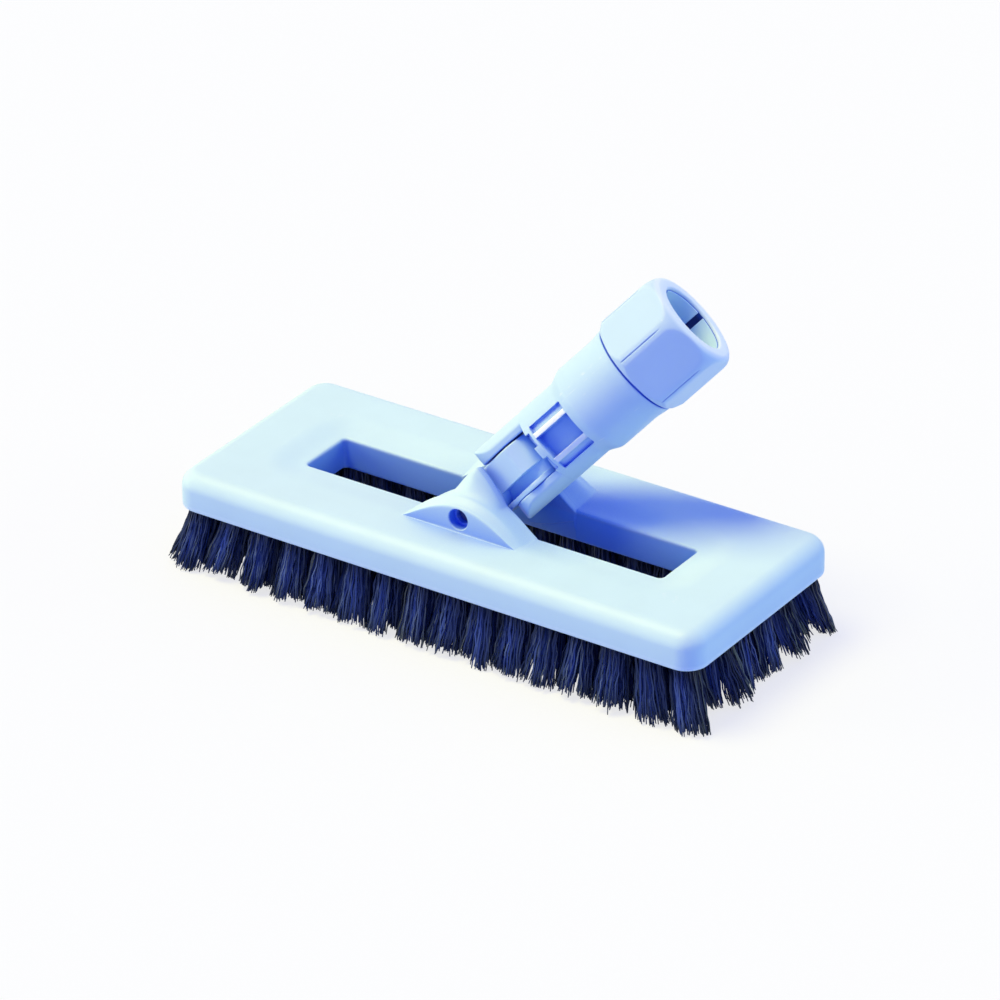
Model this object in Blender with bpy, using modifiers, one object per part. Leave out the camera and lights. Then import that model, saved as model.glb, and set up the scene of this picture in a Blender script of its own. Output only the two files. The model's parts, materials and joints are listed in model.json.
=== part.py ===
"""Floor scrub brush with a two-axis swivel socket.

A moulded block carries rows of bristle tufts on its underside and a pair of
eared humps on its top. A pin through the humps carries a knuckle, a second pin
through the knuckle carries the forked neck of the handle socket, and a hexagonal
clamp collar closes a split collet on the handle.

Units are metres and +Z is up. The brush stands on its bristle tips at Z = 0,
with its long side along X. The handle socket leans the way it does at rest:
first about the pivot pin (along Y), then about the cross pin.
"""

import math

import bmesh
import bpy
import numpy as np
from mathutils import Matrix, Vector

# Block
block_length = 0.2030
block_width = 0.0832
block_height = 0.0129
block_corner_radius = 0.0080
block_top_round = 0.0056
block_edge_break = 0.0008

# Window slot that runs down the middle of the block
window_length = 0.1388
window_width = 0.0219
window_corner_radius = 0.0035
window_edge_round = 0.0022
window_edge_drop = 0.0015
window_dish_width = 0.0130

# Humps and ears that hold the pivot pin
hump_half_length = 0.0221
hump_rise = 0.0093
hump_depth = 0.0130
hump_edge_break = 0.0006
hump_power = 1.25
hump_belly_top = 0.0077
hump_belly_depth = 0.0060
ear_rise = 0.0105
ear_half_length = 0.0103
ear_base_thickness = 0.0046
ear_top_thickness = 0.0022
ear_face_share = 0.35
ear_power = 1.2
thrust_pad = 0.0005

# Pivot pin and cross pin
pivot_height = 0.0176
pivot_pin_radius = 0.0025
pivot_pin_recess = 0.0045
pivot_mouth_radius = 0.0037
pivot_mouth_depth = 0.0032
cross_pin_radius = 0.0025
cross_pin_recess = 0.0008
pin_chamfer = 0.0005
pin_clearance = 0.0003
side_clearance = 0.00035

# Knuckle
barrel_radius = 0.0080
pin_spacing = 0.0140
tongue_half_thickness = 0.0086
tongue_half_width = 0.007425
tongue_top = 0.0086
tongue_corner_radius = 0.0030
tongue_groove_start = 0.0019
tongue_groove_width = 0.0040
tongue_groove_depth = 0.0040

# Neck and handle socket, measured up the socket's axis from the cross pin
socket_reach = 0.0762
neck_radius = 0.01415
fork_half_gap = 0.0083
leg_half_thickness = 0.0090
leg_inset = 0.0002
fork_depth = 0.0115
shoulder_start = 0.0255
shoulder_length = 0.0060
flare_radius = 0.0161
flare_lip_radius = 0.0167
spigot_radius = 0.0142
spigot_length = 0.0110
handle_radius = 0.0119
handle_stop = 0.0300

# Coring pockets and notches on the two broad faces of the neck
pocket_start = 0.0142
pocket_end = 0.0274
pocket_shift = 0.0011
pocket_half_width = 0.0042
pocket_depth = 0.0050
rib_width = 0.0020
flute_width = 0.0023
flute_depth = 0.0045
notch_inner = 0.0023
notch_outer = 0.0071
notch_height = 0.0015
notch_depth = 0.0040

# Clamp collar and collet
collar_length = 0.0252
collar_flats = 0.0344
collar_turned_radius = 0.0190
collar_end_round = 0.0055
collar_end_drop = 0.0036
collar_foot_chamfer = 0.0022
collar_lip = 0.0012
collar_mouth_radius = 0.0123
collar_thread_clearance = 0.0003
collar_seam = 0.0003
collet_wall = 0.0014
collet_foot = 0.0030
collet_slot_width = 0.0024
collet_slots = 4
seat_gap = 0.0003
union_sink = 0.0003

# Bristles
bristle_height = 0.0215
slice_thickness = 0.0027
slice_gap = 0.0003
slice_spacing = 0.0003
end_row_margin = 0.0085
side_row_margin = 0.0072
window_row_margin = 0.00625
window_end_margin = 0.0051
tufts_in_long_row = 16
end_tuft_offset = 0.0063
end_slice_spacing = 0.00225
end_columns = 3
tuft_radius = 0.0017
tuft_spread = 2.4
strand_base_radius = 0.0009
strand_tip_radius = 0.0008
side_lean = 0.0065
end_lean = 0.0075
lean_power_side = 3.3
lean_power_end = 4.0
tip_scatter = 0.0030
flat_cut = 0.0005
strands_per_tuft = 4
strand_turn_scatter = 0.15
least_spread_share = 0.88

# Rest pose of the socket, from upright
swivel_rest = math.radians(40.04)
tilt_rest = math.radians(25.59)
collar_rest = math.radians(-9.5)

round_steps = 40
corner_steps = 5
end_round_steps = 6
collar_steps = 72

# Sizes that follow from the ones above
flare_end = socket_reach - collar_length - collar_seam
row_half_span = block_length / 2 - end_row_margin
outer_row_offset = block_width / 2 - side_row_margin
inner_row_offset = window_width / 2 + window_row_margin
row_pitch = (outer_row_offset - inner_row_offset) / 2
slice_half_width = (row_pitch - slice_spacing) / 2
end_slice_half_width = inner_row_offset - slice_half_width - end_slice_spacing
end_column_pitch = (row_half_span - window_length / 2 - window_end_margin) / (end_columns - 1)


def clear_scene():
    """Start from an empty scene."""
    for item in list(bpy.data.objects):
        bpy.data.objects.remove(item, do_unlink=True)


def new_collection(name):
    collection = bpy.data.collections.new(name)
    bpy.context.scene.collection.children.link(collection)
    return collection


clear_scene()
parts = new_collection("floor_scrub_brush")
tools = new_collection("cutters_and_guides")


def material(name, colour, roughness, metallic=0.0):
    """A plain Principled material."""
    made = bpy.data.materials.new(name)
    made.use_nodes = True
    shader = made.node_tree.nodes["Principled BSDF"]
    shader.inputs["Base Color"].default_value = (*colour, 1.0)
    shader.inputs["Roughness"].default_value = roughness
    shader.inputs["Metallic"].default_value = metallic
    return made


sky_blue = material("sky_blue_plastic", (0.55, 0.76, 0.92), 0.42)
socket_blue = material("socket_blue_plastic", (0.50, 0.72, 0.92), 0.40)
collar_blue = material("collar_blue_plastic", (0.52, 0.74, 0.92), 0.40)
knuckle_blue = material("knuckle_blue_plastic", (0.45, 0.68, 0.90), 0.45)
collet_blue = material("collet_blue_plastic", (0.30, 0.48, 0.85), 0.45)
pin_steel = material("pin_steel", (0.42, 0.44, 0.50), 0.35, 1.0)
bristle_navy = material("bristle_navy", (0.030, 0.035, 0.085), 0.60)


def empty(name, location, rotation=(0.0, 0.0, 0.0), parent=None):
    """A frame that other pieces hang from."""
    frame = bpy.data.objects.new(name, None)
    frame.location = location
    frame.rotation_euler = rotation
    frame.parent = parent
    tools.objects.link(frame)
    return frame


def finish_object(name, mesh, coat=None, parent=None, location=(0.0, 0.0, 0.0)):
    """Link a mesh as a visible part, or as a hidden tool if it has no coat."""
    made = bpy.data.objects.new(name, mesh)
    made.parent = parent
    made.location = location
    if coat is None:
        tools.objects.link(made)
        made.hide_render = True
        made.display_type = "WIRE"
    else:
        parts.objects.link(made)
        mesh.materials.append(coat)
    return made


def mesh_from_bmesh(name, bm, smooth_angle=math.radians(35)):
    """Write a bmesh out as a mesh with its normals outward."""
    bmesh.ops.recalc_face_normals(bm, faces=bm.faces[:])
    mesh = bpy.data.meshes.new(name)
    bm.to_mesh(mesh)
    bm.free()
    mesh.shade_smooth()
    mesh.set_sharp_from_angle(angle=smooth_angle)
    return mesh


def box_mesh(name, low, high):
    """A box between two corners."""
    low = Vector(low)
    high = Vector(high)
    bm = bmesh.new()
    bmesh.ops.create_cube(bm, size=1.0)
    bmesh.ops.scale(bm, vec=high - low, verts=bm.verts[:])
    bmesh.ops.translate(bm, vec=(low + high) / 2, verts=bm.verts[:])
    return mesh_from_bmesh(name, bm)


def rod_mesh(name, radius, half_length, axis, centre=(0.0, 0.0, 0.0), sides=round_steps):
    """A cylinder along X, Y or Z about a centre."""
    turn = {
        "X": Matrix.Rotation(math.pi / 2, 4, "Y"),
        "Y": Matrix.Rotation(-math.pi / 2, 4, "X"),
        "Z": Matrix.Identity(4),
    }[axis]
    bm = bmesh.new()
    bmesh.ops.create_cone(
        bm, cap_ends=True, segments=sides, radius1=radius, radius2=radius,
        depth=2 * half_length, matrix=Matrix.Translation(centre) @ turn,
    )
    return mesh_from_bmesh(name, bm)


def turned(name, profile, coat=None, parent=None, steps=round_steps, closed=False):
    """Turn a profile of (radius, height) points about Z."""
    mesh = bpy.data.meshes.new(name)
    points = [(radius, 0.0, height) for radius, height in profile]
    edges = [(i, i + 1) for i in range(len(points) - 1)]
    if closed:
        edges.append((len(points) - 1, 0))
    mesh.from_pydata(points, edges, [])
    made = finish_object(name, mesh, coat, parent)
    screw = made.modifiers.new("turn", "SCREW")
    screw.axis = "Z"
    screw.steps = steps
    screw.render_steps = steps
    screw.use_merge_vertices = True
    screw.merge_threshold = 0.00001
    screw.use_smooth_shade = True
    return made


def extruded_outline(name, outline, half_thickness, axis):
    """Extrude a flat closed outline both ways along X or Y.

    Along X the outline's pairs are (Y, Z). Along Y they are (X, Z).
    """
    curve = bpy.data.curves.new(name, "CURVE")
    curve.dimensions = "2D"
    curve.fill_mode = "BOTH"
    curve.extrude = half_thickness
    spline = curve.splines.new("POLY")
    spline.points.add(len(outline) - 1)
    for point, (across, up) in zip(spline.points, outline):
        point.co = (across, up, 0.0, 1.0)
    spline.use_cyclic_u = True
    drawn = bpy.data.objects.new(name, curve)
    tools.objects.link(drawn)
    bpy.context.view_layer.update()
    evaluated = drawn.evaluated_get(bpy.context.evaluated_depsgraph_get())
    mesh = bpy.data.meshes.new_from_object(evaluated)
    bpy.data.objects.remove(drawn, do_unlink=True)
    if axis == "X":
        turn = Matrix(((0, 0, 1, 0), (1, 0, 0, 0), (0, 1, 0, 0), (0, 0, 0, 1)))
    else:
        turn = Matrix(((1, 0, 0, 0), (0, 0, -1, 0), (0, 1, 0, 0), (0, 0, 0, 1)))
    bm = bmesh.new()
    bm.from_mesh(mesh)
    bpy.data.meshes.remove(mesh)
    bmesh.ops.remove_doubles(bm, verts=bm.verts[:], dist=0.00001)
    bmesh.ops.transform(bm, matrix=turn, verts=bm.verts[:])
    return mesh_from_bmesh(name, bm)


def combine(target, tool, operation):
    """Add a Boolean modifier to a part."""
    modifier = target.modifiers.new(operation.lower() + "_" + tool.name, "BOOLEAN")
    modifier.operation = operation
    modifier.object = tool
    modifier.solver = "EXACT"


def rounded_rectangle(length, width, radius, height):
    """Points round a rectangle with round corners, at one height."""
    ring = []
    for quarter in range(4):
        side_x = 1 if quarter in (0, 3) else -1
        side_y = 1 if quarter in (0, 1) else -1
        centre = Vector((side_x * (length / 2 - radius), side_y * (width / 2 - radius), height))
        for step in range(corner_steps + 1):
            angle = (quarter + step / corner_steps) * math.pi / 2
            ring.append(centre + radius * Vector((math.cos(angle), math.sin(angle), 0.0)))
    return ring


def loft(bm, rings, closed):
    """Skin a list of rings that have the same number of points."""
    rows = [[bm.verts.new(point) for point in ring] for ring in rings]
    pairs = list(zip(rows, rows[1:]))
    if closed:
        pairs.append((rows[-1], rows[0]))
    for lower, upper in pairs:
        count = len(lower)
        for i in range(count):
            j = (i + 1) % count
            bm.faces.new((lower[i], lower[j], upper[j], upper[i]))
    return rows


def smooth_step(share):
    """Rise from 0 to 1 with level ends."""
    return 0.5 - 0.5 * math.cos(math.pi * share)


def block_rings():
    """The block's cross-section, carried round it from the outer foot to the inner foot."""

    def outer(inset, height):
        return rounded_rectangle(
            block_length - 2 * inset, block_width - 2 * inset,
            block_corner_radius - inset, bristle_height + height)

    def inner(outset, height):
        return rounded_rectangle(
            window_length + 2 * outset, window_width + 2 * outset,
            window_corner_radius + outset, bristle_height + height)

    round_stations = [math.radians(angle) for angle in (0, 15, 30, 45, 60, 75, 90)]
    edge_height = block_height - window_edge_drop
    rings = [outer(block_edge_break, 0.0), outer(0.0, block_edge_break)]
    for angle in round_stations:
        rings.append(outer(
            block_top_round * (1 - math.cos(angle)),
            block_height - block_top_round * (1 - math.sin(angle))))
    for share in (0.0, 0.25, 0.5, 0.75, 1.0):
        outset = window_dish_width + (window_edge_round - window_dish_width) * share
        rings.append(inner(outset, block_height - window_edge_drop * smooth_step(share)))
    for angle in round_stations[2::2]:
        rings.append(inner(
            window_edge_round * (1 - math.sin(angle)),
            edge_height - window_edge_round * (1 - math.cos(angle))))
    rings.append(inner(0.0, block_edge_break))
    rings.append(inner(block_edge_break, 0.0))
    return rings


window_face = window_width / 2
pad_face = window_face - thrust_pad
hump_front = window_face + hump_depth
pivot_level = bristle_height + pivot_height


def arch_share(x):
    """Height of the hump's arch at x, as a share of its rise."""
    return max(0.0, 1 - (x / hump_half_length) ** 2) ** hump_power


def ear_share(x):
    """Height of the ear above the arch at x, as a share of its rise."""
    return max(0.0, 1 - (abs(x) / ear_half_length) ** ear_power)


def hump_section(side, y, trim, ear):
    """Outline of the hump across X at one distance from the block's middle line."""
    base = block_height - window_edge_drop * (hump_front - y) / (hump_front - pad_face)
    xs = np.linspace(-hump_half_length, hump_half_length, 25)
    outline = []
    for x in xs:
        rise = (hump_rise - trim) * arch_share(x) + ear * (ear_rise - trim) * ear_share(x)
        outline.append((x, side * y, bristle_height + base - union_sink + rise))
    for x in xs[::-1]:
        belly = hump_belly_top - hump_belly_depth * arch_share(x)
        outline.append((x, side * y, bristle_height + belly))
    return outline


def hump_mesh(name, side):
    """A hump with its ear, lofted through sections that run in from its flat front."""
    ear_front = pad_face + ear_base_thickness
    ear_top = pad_face + ear_top_thickness
    stations = [
        (hump_front, hump_edge_break, 0.0),
        (hump_front - hump_edge_break, 0.0, 0.0),
        ((hump_front + ear_front) / 2, 0.0, 0.0),
        (ear_front + union_sink, 0.0, 0.0),
        (ear_front, 0.0, ear_face_share),
        (ear_top, 0.0, 1.0),
        (pad_face + hump_edge_break, 0.0, 1.0),
        (pad_face, hump_edge_break, 1.0),
    ]
    bm = bmesh.new()
    rows = loft(bm, [hump_section(side, *station) for station in stations], closed=False)
    bm.faces.new(rows[0])
    bm.faces.new(rows[-1])
    return mesh_from_bmesh(name, bm)


def build_block(frame):
    """The moulded block: body, humps, pin bore and the seats of the bristle slices."""
    bm = bmesh.new()
    loft(bm, block_rings(), closed=True)
    block = finish_object("block", mesh_from_bmesh("block", bm), sky_blue, frame)
    for name, side in (("hump_front", -1), ("hump_back", 1)):
        combine(block, finish_object(name, hump_mesh(name, side), None, frame), "UNION")
    bore = rod_mesh(
        "pivot_bore", pivot_pin_radius + pin_clearance, hump_front + block_edge_break, "Y",
        (0.0, 0.0, pivot_level))
    combine(block, finish_object("pivot_bore", bore, None, frame), "DIFFERENCE")
    for name, side in (("mouth_front", -1), ("mouth_back", 1)):
        mouth = rod_mesh(
            name, pivot_mouth_radius, pivot_mouth_depth, "Y", (0.0, side * hump_front, pivot_level))
        combine(block, finish_object(name, mouth, None, frame), "DIFFERENCE")
    for name, low, high in slice_seats():
        seat = box_mesh(name, low, high)
        combine(block, finish_object(name, seat, None, frame), "DIFFERENCE")
    return block


def row_offsets():
    """Distance of each long row of tufts from the block's middle line."""
    return {
        "inner": inner_row_offset,
        "middle": inner_row_offset + row_pitch,
        "outer": outer_row_offset,
    }


def end_column_places():
    """Distance of each column of end tufts from the block's middle, along X."""
    return [row_half_span - step * end_column_pitch for step in range(end_columns)]


def slice_boxes():
    """Corners of the backing slice under each group of tufts, in the plan."""
    boxes = {}
    reach = row_half_span + slice_half_width
    for row, offset in row_offsets().items():
        for side_name, side in (("front", -1), ("back", 1)):
            near = side * offset - slice_half_width
            far = side * offset + slice_half_width
            boxes[f"bristles_{side_name}_{row}"] = ((-reach, near), (reach, far))
    start = end_column_places()[-1] - slice_half_width
    half = end_slice_half_width
    boxes["bristles_right_end"] = ((start, -half), (reach, half))
    boxes["bristles_left_end"] = ((-reach, -half), (-start, half))
    return boxes


def slice_seats():
    """Recesses in the underside that the slices sit in."""
    boxes = slice_boxes()
    groups = {
        "seat_front": ["bristles_front_outer", "bristles_front_inner"],
        "seat_back": ["bristles_back_outer", "bristles_back_inner"],
        "seat_right": ["bristles_right_end"],
        "seat_left": ["bristles_left_end"],
    }
    seats = []
    for name, members in groups.items():
        xs = [corner[0] for member in members for corner in boxes[member]]
        ys = [corner[1] for member in members for corner in boxes[member]]
        low = (min(xs) - slice_gap, min(ys) - slice_gap, bristle_height - block_edge_break)
        high = (max(xs) + slice_gap, max(ys) + slice_gap, bristle_height + slice_thickness + slice_gap)
        seats.append((name, low, high))
    return seats


def lean_at(x, y):
    """How far the tips of a tuft stand outside its root."""
    along = math.copysign(end_lean * (abs(x) / row_half_span) ** lean_power_end, x)
    across = math.copysign(side_lean * (abs(y) / outer_row_offset) ** lean_power_side, y)
    return Vector((along, across))


def add_strand(bm, root, tip, turn):
    """One three-sided strand between two level rings."""
    rings = []
    for (place, radius) in ((root, strand_base_radius), (tip, strand_tip_radius)):
        corners = []
        for corner in range(3):
            angle = turn + corner * math.tau / 3
            offset = Vector((radius * math.cos(angle), radius * math.sin(angle), 0.0))
            corners.append(bm.verts.new(place + offset))
        rings.append(corners)
    lower, upper = rings[1], rings[0]
    for i in range(3):
        j = (i + 1) % 3
        bm.faces.new((lower[i], lower[j], upper[j], upper[i]))
    bm.faces.new(lower[::-1])
    bm.faces.new(upper)


def tuft_centres(name):
    """Plan positions of the tufts on one slice."""
    if name.endswith("end"):
        side = 1 if "right" in name else -1
        ys = (-end_tuft_offset, end_tuft_offset)
        return [(side * x, y) for x in end_column_places() for y in ys]
    side = -1 if "front" in name else 1
    row = name.rsplit("_", 1)[1]
    pitch = 2 * row_half_span / (tufts_in_long_row - 1)
    count = tufts_in_long_row - 1 if row == "middle" else tufts_in_long_row
    start = -pitch * (count - 1) / 2
    return [(start + i * pitch, side * row_offsets()[row]) for i in range(count)]


def build_bristles(frame):
    """Each group of tufts, fused to its slice of the backing."""
    chance = np.random.default_rng(11)
    made = []
    for name, (low, high) in slice_boxes().items():
        slab = box_mesh(
            name, (*low, bristle_height), (*high, bristle_height + slice_thickness))
        node = finish_object(name, slab, bristle_navy, frame)
        bm = bmesh.new()
        extra = 1 if name.endswith("outer") else 0
        for x, y in tuft_centres(name):
            lean = lean_at(x, y)
            for strand in range(strands_per_tuft + extra):
                middle = strand == strands_per_tuft
                angle = math.tau * (strand + 0.5) / strands_per_tuft
                angle += chance.uniform(-strand_turn_scatter, strand_turn_scatter)
                reach = 0.0 if middle else tuft_radius
                root = Vector((x + reach * math.cos(angle), y + reach * math.sin(angle),
                               bristle_height + slice_thickness / 2))
                spread = tuft_spread * chance.uniform(least_spread_share, 1.0)
                raw_tip = chance.uniform(-flat_cut, tip_scatter)
                tip = Vector((x + lean.x + spread * reach * math.cos(angle),
                              y + lean.y + spread * reach * math.sin(angle),
                              max(0.0, raw_tip)))
                add_strand(bm, root, tip, angle)
        tufts = finish_object(name + "_tufts", mesh_from_bmesh(name + "_tufts", bm), None, frame)
        combine(node, tufts, "UNION")
        made.append(node)
    return made


def round_ended_outline(half_width, round_level, open_level):
    """A strap outline in (Y, Z): square at one level, half round about the other."""
    direction = 1 if round_level > open_level else -1
    outline = [(half_width, open_level)]
    for step in range(17):
        angle = math.pi * step / 16
        outline.append((
            half_width * math.cos(angle),
            round_level + direction * half_width * math.sin(angle)))
    outline.append((-half_width, open_level))
    return outline


def square_topped_outline(half_width, top, corner_radius):
    """A strap outline in (Y, Z): square at level zero, with two round corners at its top."""
    outline = [(half_width, 0.0)]
    for side in (1, -1):
        for step in range(corner_steps + 1):
            share = step if side > 0 else corner_steps - step
            angle = math.pi / 2 * share / corner_steps
            outline.append((
                side * (half_width - corner_radius + corner_radius * math.cos(angle)),
                top - corner_radius + corner_radius * math.sin(angle)))
    outline.append((-half_width, 0.0))
    return outline


def build_pin(name, radius, half_length, axis, parent):
    """A plain steel pin with chamfered ends."""
    pin = finish_object(name, rod_mesh(name, radius, half_length, axis), pin_steel, parent)
    edge = pin.modifiers.new("end_chamfer", "BEVEL")
    edge.width = pin_chamfer
    edge.segments = 1
    edge.limit_method = "ANGLE"
    edge.angle_limit = math.radians(60)
    return pin


def build_knuckle(swivel):
    """The link between the two pins: a barrel on the pivot pin and a tongue above it."""
    barrel_half = pad_face - side_clearance
    knuckle = finish_object(
        "knuckle", rod_mesh("knuckle", barrel_radius, barrel_half, "Y"), knuckle_blue, swivel)
    top = pin_spacing + tongue_top
    middle = fork_half_gap - side_clearance - tongue_half_width
    outline = square_topped_outline(tongue_half_thickness, top, tongue_corner_radius)
    tongue = finish_object(
        "tongue", extruded_outline("tongue", outline, tongue_half_width, "X"), None, swivel,
        (middle, 0.0, 0.0))
    combine(knuckle, tongue, "UNION")
    floor = tongue_half_thickness - tongue_groove_depth
    for face_name, side in (("near", -1), ("far", 1)):
        starts = (tongue_groove_start, tongue_groove_start + tongue_groove_width)
        ends = sorted(middle - side * start for start in starts)
        groove_y = sorted((side * floor, side * 2 * tongue_half_thickness))
        groove = box_mesh(
            "groove_" + face_name, (ends[0], groove_y[0], barrel_radius + pin_clearance),
            (ends[1], groove_y[1], top + tongue_groove_depth))
        combine(knuckle, finish_object("groove_" + face_name, groove, None, swivel), "DIFFERENCE")
    bores = (
        ("knuckle_pivot_bore", pivot_pin_radius, 0.0, "Y", barrel_half),
        ("knuckle_cross_bore", cross_pin_radius, pin_spacing, "X", fork_half_gap),
    )
    for name, radius, level, axis, half in bores:
        bore = rod_mesh(name, radius + pin_clearance, half + side_clearance, axis, (0.0, 0.0, level))
        combine(knuckle, finish_object(name, bore, None, swivel), "DIFFERENCE")
    return knuckle


def socket_profile():
    """Outer side of the neck, flare and spigot, from the top down."""
    spigot_top = flare_end + spigot_length
    shoulder_end = shoulder_start + shoulder_length
    rise = flare_radius - neck_radius
    shoulder = []
    for share in (1.0, 0.8, 0.6, 0.4, 0.2, 0.0):
        level = shoulder_start + shoulder_length * share
        shoulder.append((neck_radius + rise * smooth_step(share), level))
    return [
        (0.0, spigot_top),
        (spigot_radius - pin_chamfer, spigot_top),
        (spigot_radius, spigot_top - pin_chamfer),
        (spigot_radius, flare_end),
        (flare_lip_radius - pin_chamfer, flare_end),
        (flare_lip_radius, flare_end - pin_chamfer),
        (flare_radius, flare_end - (flare_end - shoulder_end) / 4),
        *shoulder,
        (neck_radius, fork_depth + pin_chamfer),
        (neck_radius - pin_chamfer, fork_depth),
        (0.0, fork_depth),
    ]


def build_socket(tilt):
    """The handle socket: bored spigot, flare, cored neck and two fork legs."""
    socket = turned("socket", socket_profile(), socket_blue, tilt)
    overlap = neck_radius / 10
    reach = leg_half_thickness + overlap
    legs = finish_object(
        "fork_legs", rod_mesh(
            "fork_legs", neck_radius - leg_inset, (reach + fork_depth + overlap) / 2, "Z",
            (0.0, 0.0, (fork_depth + overlap - reach) / 2)), None, tilt)
    outline = round_ended_outline(leg_half_thickness, 0.0, fork_depth + overlap / 2)
    strap = extruded_outline("leg_strap", outline, neck_radius + overlap, "X")
    combine(legs, finish_object("leg_strap", strap, None, tilt), "INTERSECT")
    gap = box_mesh(
        "fork_gap", (-fork_half_gap, -2 * leg_half_thickness, -2 * leg_half_thickness),
        (fork_half_gap, 2 * leg_half_thickness, fork_depth))
    combine(legs, finish_object("fork_gap", gap, None, tilt), "DIFFERENCE")
    combine(socket, legs, "UNION")
    bore = rod_mesh(
        "cross_bore", cross_pin_radius + pin_clearance, neck_radius + overlap, "X", sides=24)
    combine(socket, finish_object("cross_bore", bore, None, tilt), "DIFFERENCE")
    spigot_top = flare_end + spigot_length
    well = rod_mesh(
        "handle_bore", handle_radius, (spigot_top - handle_stop) / 2 + overlap, "Z",
        (0.0, 0.0, (spigot_top + handle_stop) / 2 + overlap))
    combine(socket, finish_object("handle_bore", well, None, tilt), "DIFFERENCE")
    flute_near = pocket_half_width + rib_width
    flute_far = flute_near + flute_width
    notch_end = fork_depth + notch_height
    notch_start = fork_depth - notch_height
    cuts = (
        ("pocket", -pocket_half_width, pocket_half_width, pocket_depth, pocket_start, pocket_end),
        ("flute_left", -flute_far, -flute_near, flute_depth, pocket_start, pocket_end),
        ("flute_right", flute_near, flute_far, flute_depth, pocket_start, pocket_end),
        ("notch_left", -notch_outer, -notch_inner, notch_depth, notch_start, notch_end),
        ("notch_right", notch_inner, notch_outer, notch_depth, notch_start, notch_end),
    )
    for face_name, side in (("near", -1), ("far", 1)):
        for cut_name, left, right, depth, low, high in cuts:
            ys = sorted((side * (neck_radius - depth), side * 2 * neck_radius))
            xs = sorted((-side * (pocket_shift + left), -side * (pocket_shift + right)))
            name = cut_name + "_" + face_name
            cut = box_mesh(name, (xs[0], ys[0], low), (xs[1], ys[1], high))
            combine(socket, finish_object(name, cut, None, tilt), "DIFFERENCE")
    return socket


def build_collet(tilt):
    """The split sleeve that the collar squeezes on the handle."""
    foot = flare_end + spigot_length + seat_gap
    top = flare_end + collar_seam + collar_length - collar_lip - seat_gap
    outer = handle_radius + collet_wall
    profile = [
        (handle_radius, top),
        (outer - pin_chamfer, top),
        (outer, top - pin_chamfer),
        (outer, foot),
        (handle_radius, foot),
    ]
    collet = turned("collet", profile, collet_blue, tilt, closed=True)
    for index in range(collet_slots // 2):
        width = collet_slot_width / 2
        long_side = 2 * outer
        low = (-width, -long_side, foot + collet_foot)
        high = (width, long_side, top + pin_chamfer)
        if index == 1:
            low = (-long_side, -width, foot + collet_foot)
            high = (long_side, width, top + pin_chamfer)
        name = f"collet_slot_{index}"
        combine(collet, finish_object(name, box_mesh(name, low, high), None, tilt), "DIFFERENCE")
    return collet


def build_collar(turn):
    """The hexagonal clamp collar, turned inside and rounded over at its mouth."""
    start = flare_end + collar_seam
    end = start + collar_length
    corner = collar_flats / 2 / math.cos(math.pi / 6)
    bm = bmesh.new()
    bmesh.ops.create_cone(
        bm, cap_ends=True, segments=6, radius1=corner, radius2=corner, depth=collar_length,
        matrix=Matrix.Translation((0.0, 0.0, (start + end) / 2)))
    collar = finish_object("collar", mesh_from_bmesh("collar", bm), collar_blue, turn)
    end_radius = collar_turned_radius - collar_end_drop
    envelope = [(0.0, end + collar_seam), (end_radius, end + collar_seam)]
    for step in range(end_round_steps + 1):
        angle = math.pi / 2 * (1 - step / end_round_steps)
        envelope.append((
            end_radius + collar_end_drop * math.cos(angle),
            end - collar_end_round * (1 - math.sin(angle))))
    foot_radius = collar_flats / 2 + collar_seam
    envelope.extend([
        (collar_turned_radius, start + collar_foot_chamfer),
        (foot_radius, start - collar_seam),
        (0.0, start - collar_seam),
    ])
    combine(collar, turned("collar_envelope", envelope, None, turn, steps=collar_steps), "INTERSECT")
    thread = spigot_radius + collar_thread_clearance
    grip = handle_radius + collet_wall + collar_thread_clearance
    spigot_top = flare_end + spigot_length
    inside = [
        (0.0, end + collar_lip),
        (collar_mouth_radius + collar_lip, end + collar_lip),
        (collar_mouth_radius + collar_lip / 2, end),
        (collar_mouth_radius, end - collar_lip / 2),
        (collar_mouth_radius, end - collar_lip),
        (grip, end - collar_lip),
        (grip, spigot_top + 2 * seat_gap + collet_foot),
        (thread, spigot_top + seat_gap),
        (thread, start - collar_seam),
        (0.0, start - collar_seam),
    ]
    combine(collar, turned("collar_inside", inside, None, turn, steps=48), "DIFFERENCE")
    return collar


def box_of(objects):
    """Corners of the box round the built objects."""
    graph = bpy.context.evaluated_depsgraph_get()
    low = Vector((math.inf, math.inf, math.inf))
    high = -low
    for item in objects:
        evaluated = item.evaluated_get(graph)
        mesh = evaluated.to_mesh()
        for vertex in mesh.vertices:
            place = evaluated.matrix_world @ vertex.co
            low = Vector(map(min, low, place))
            high = Vector(map(max, high, place))
        evaluated.to_mesh_clear()
    return low, high


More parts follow.
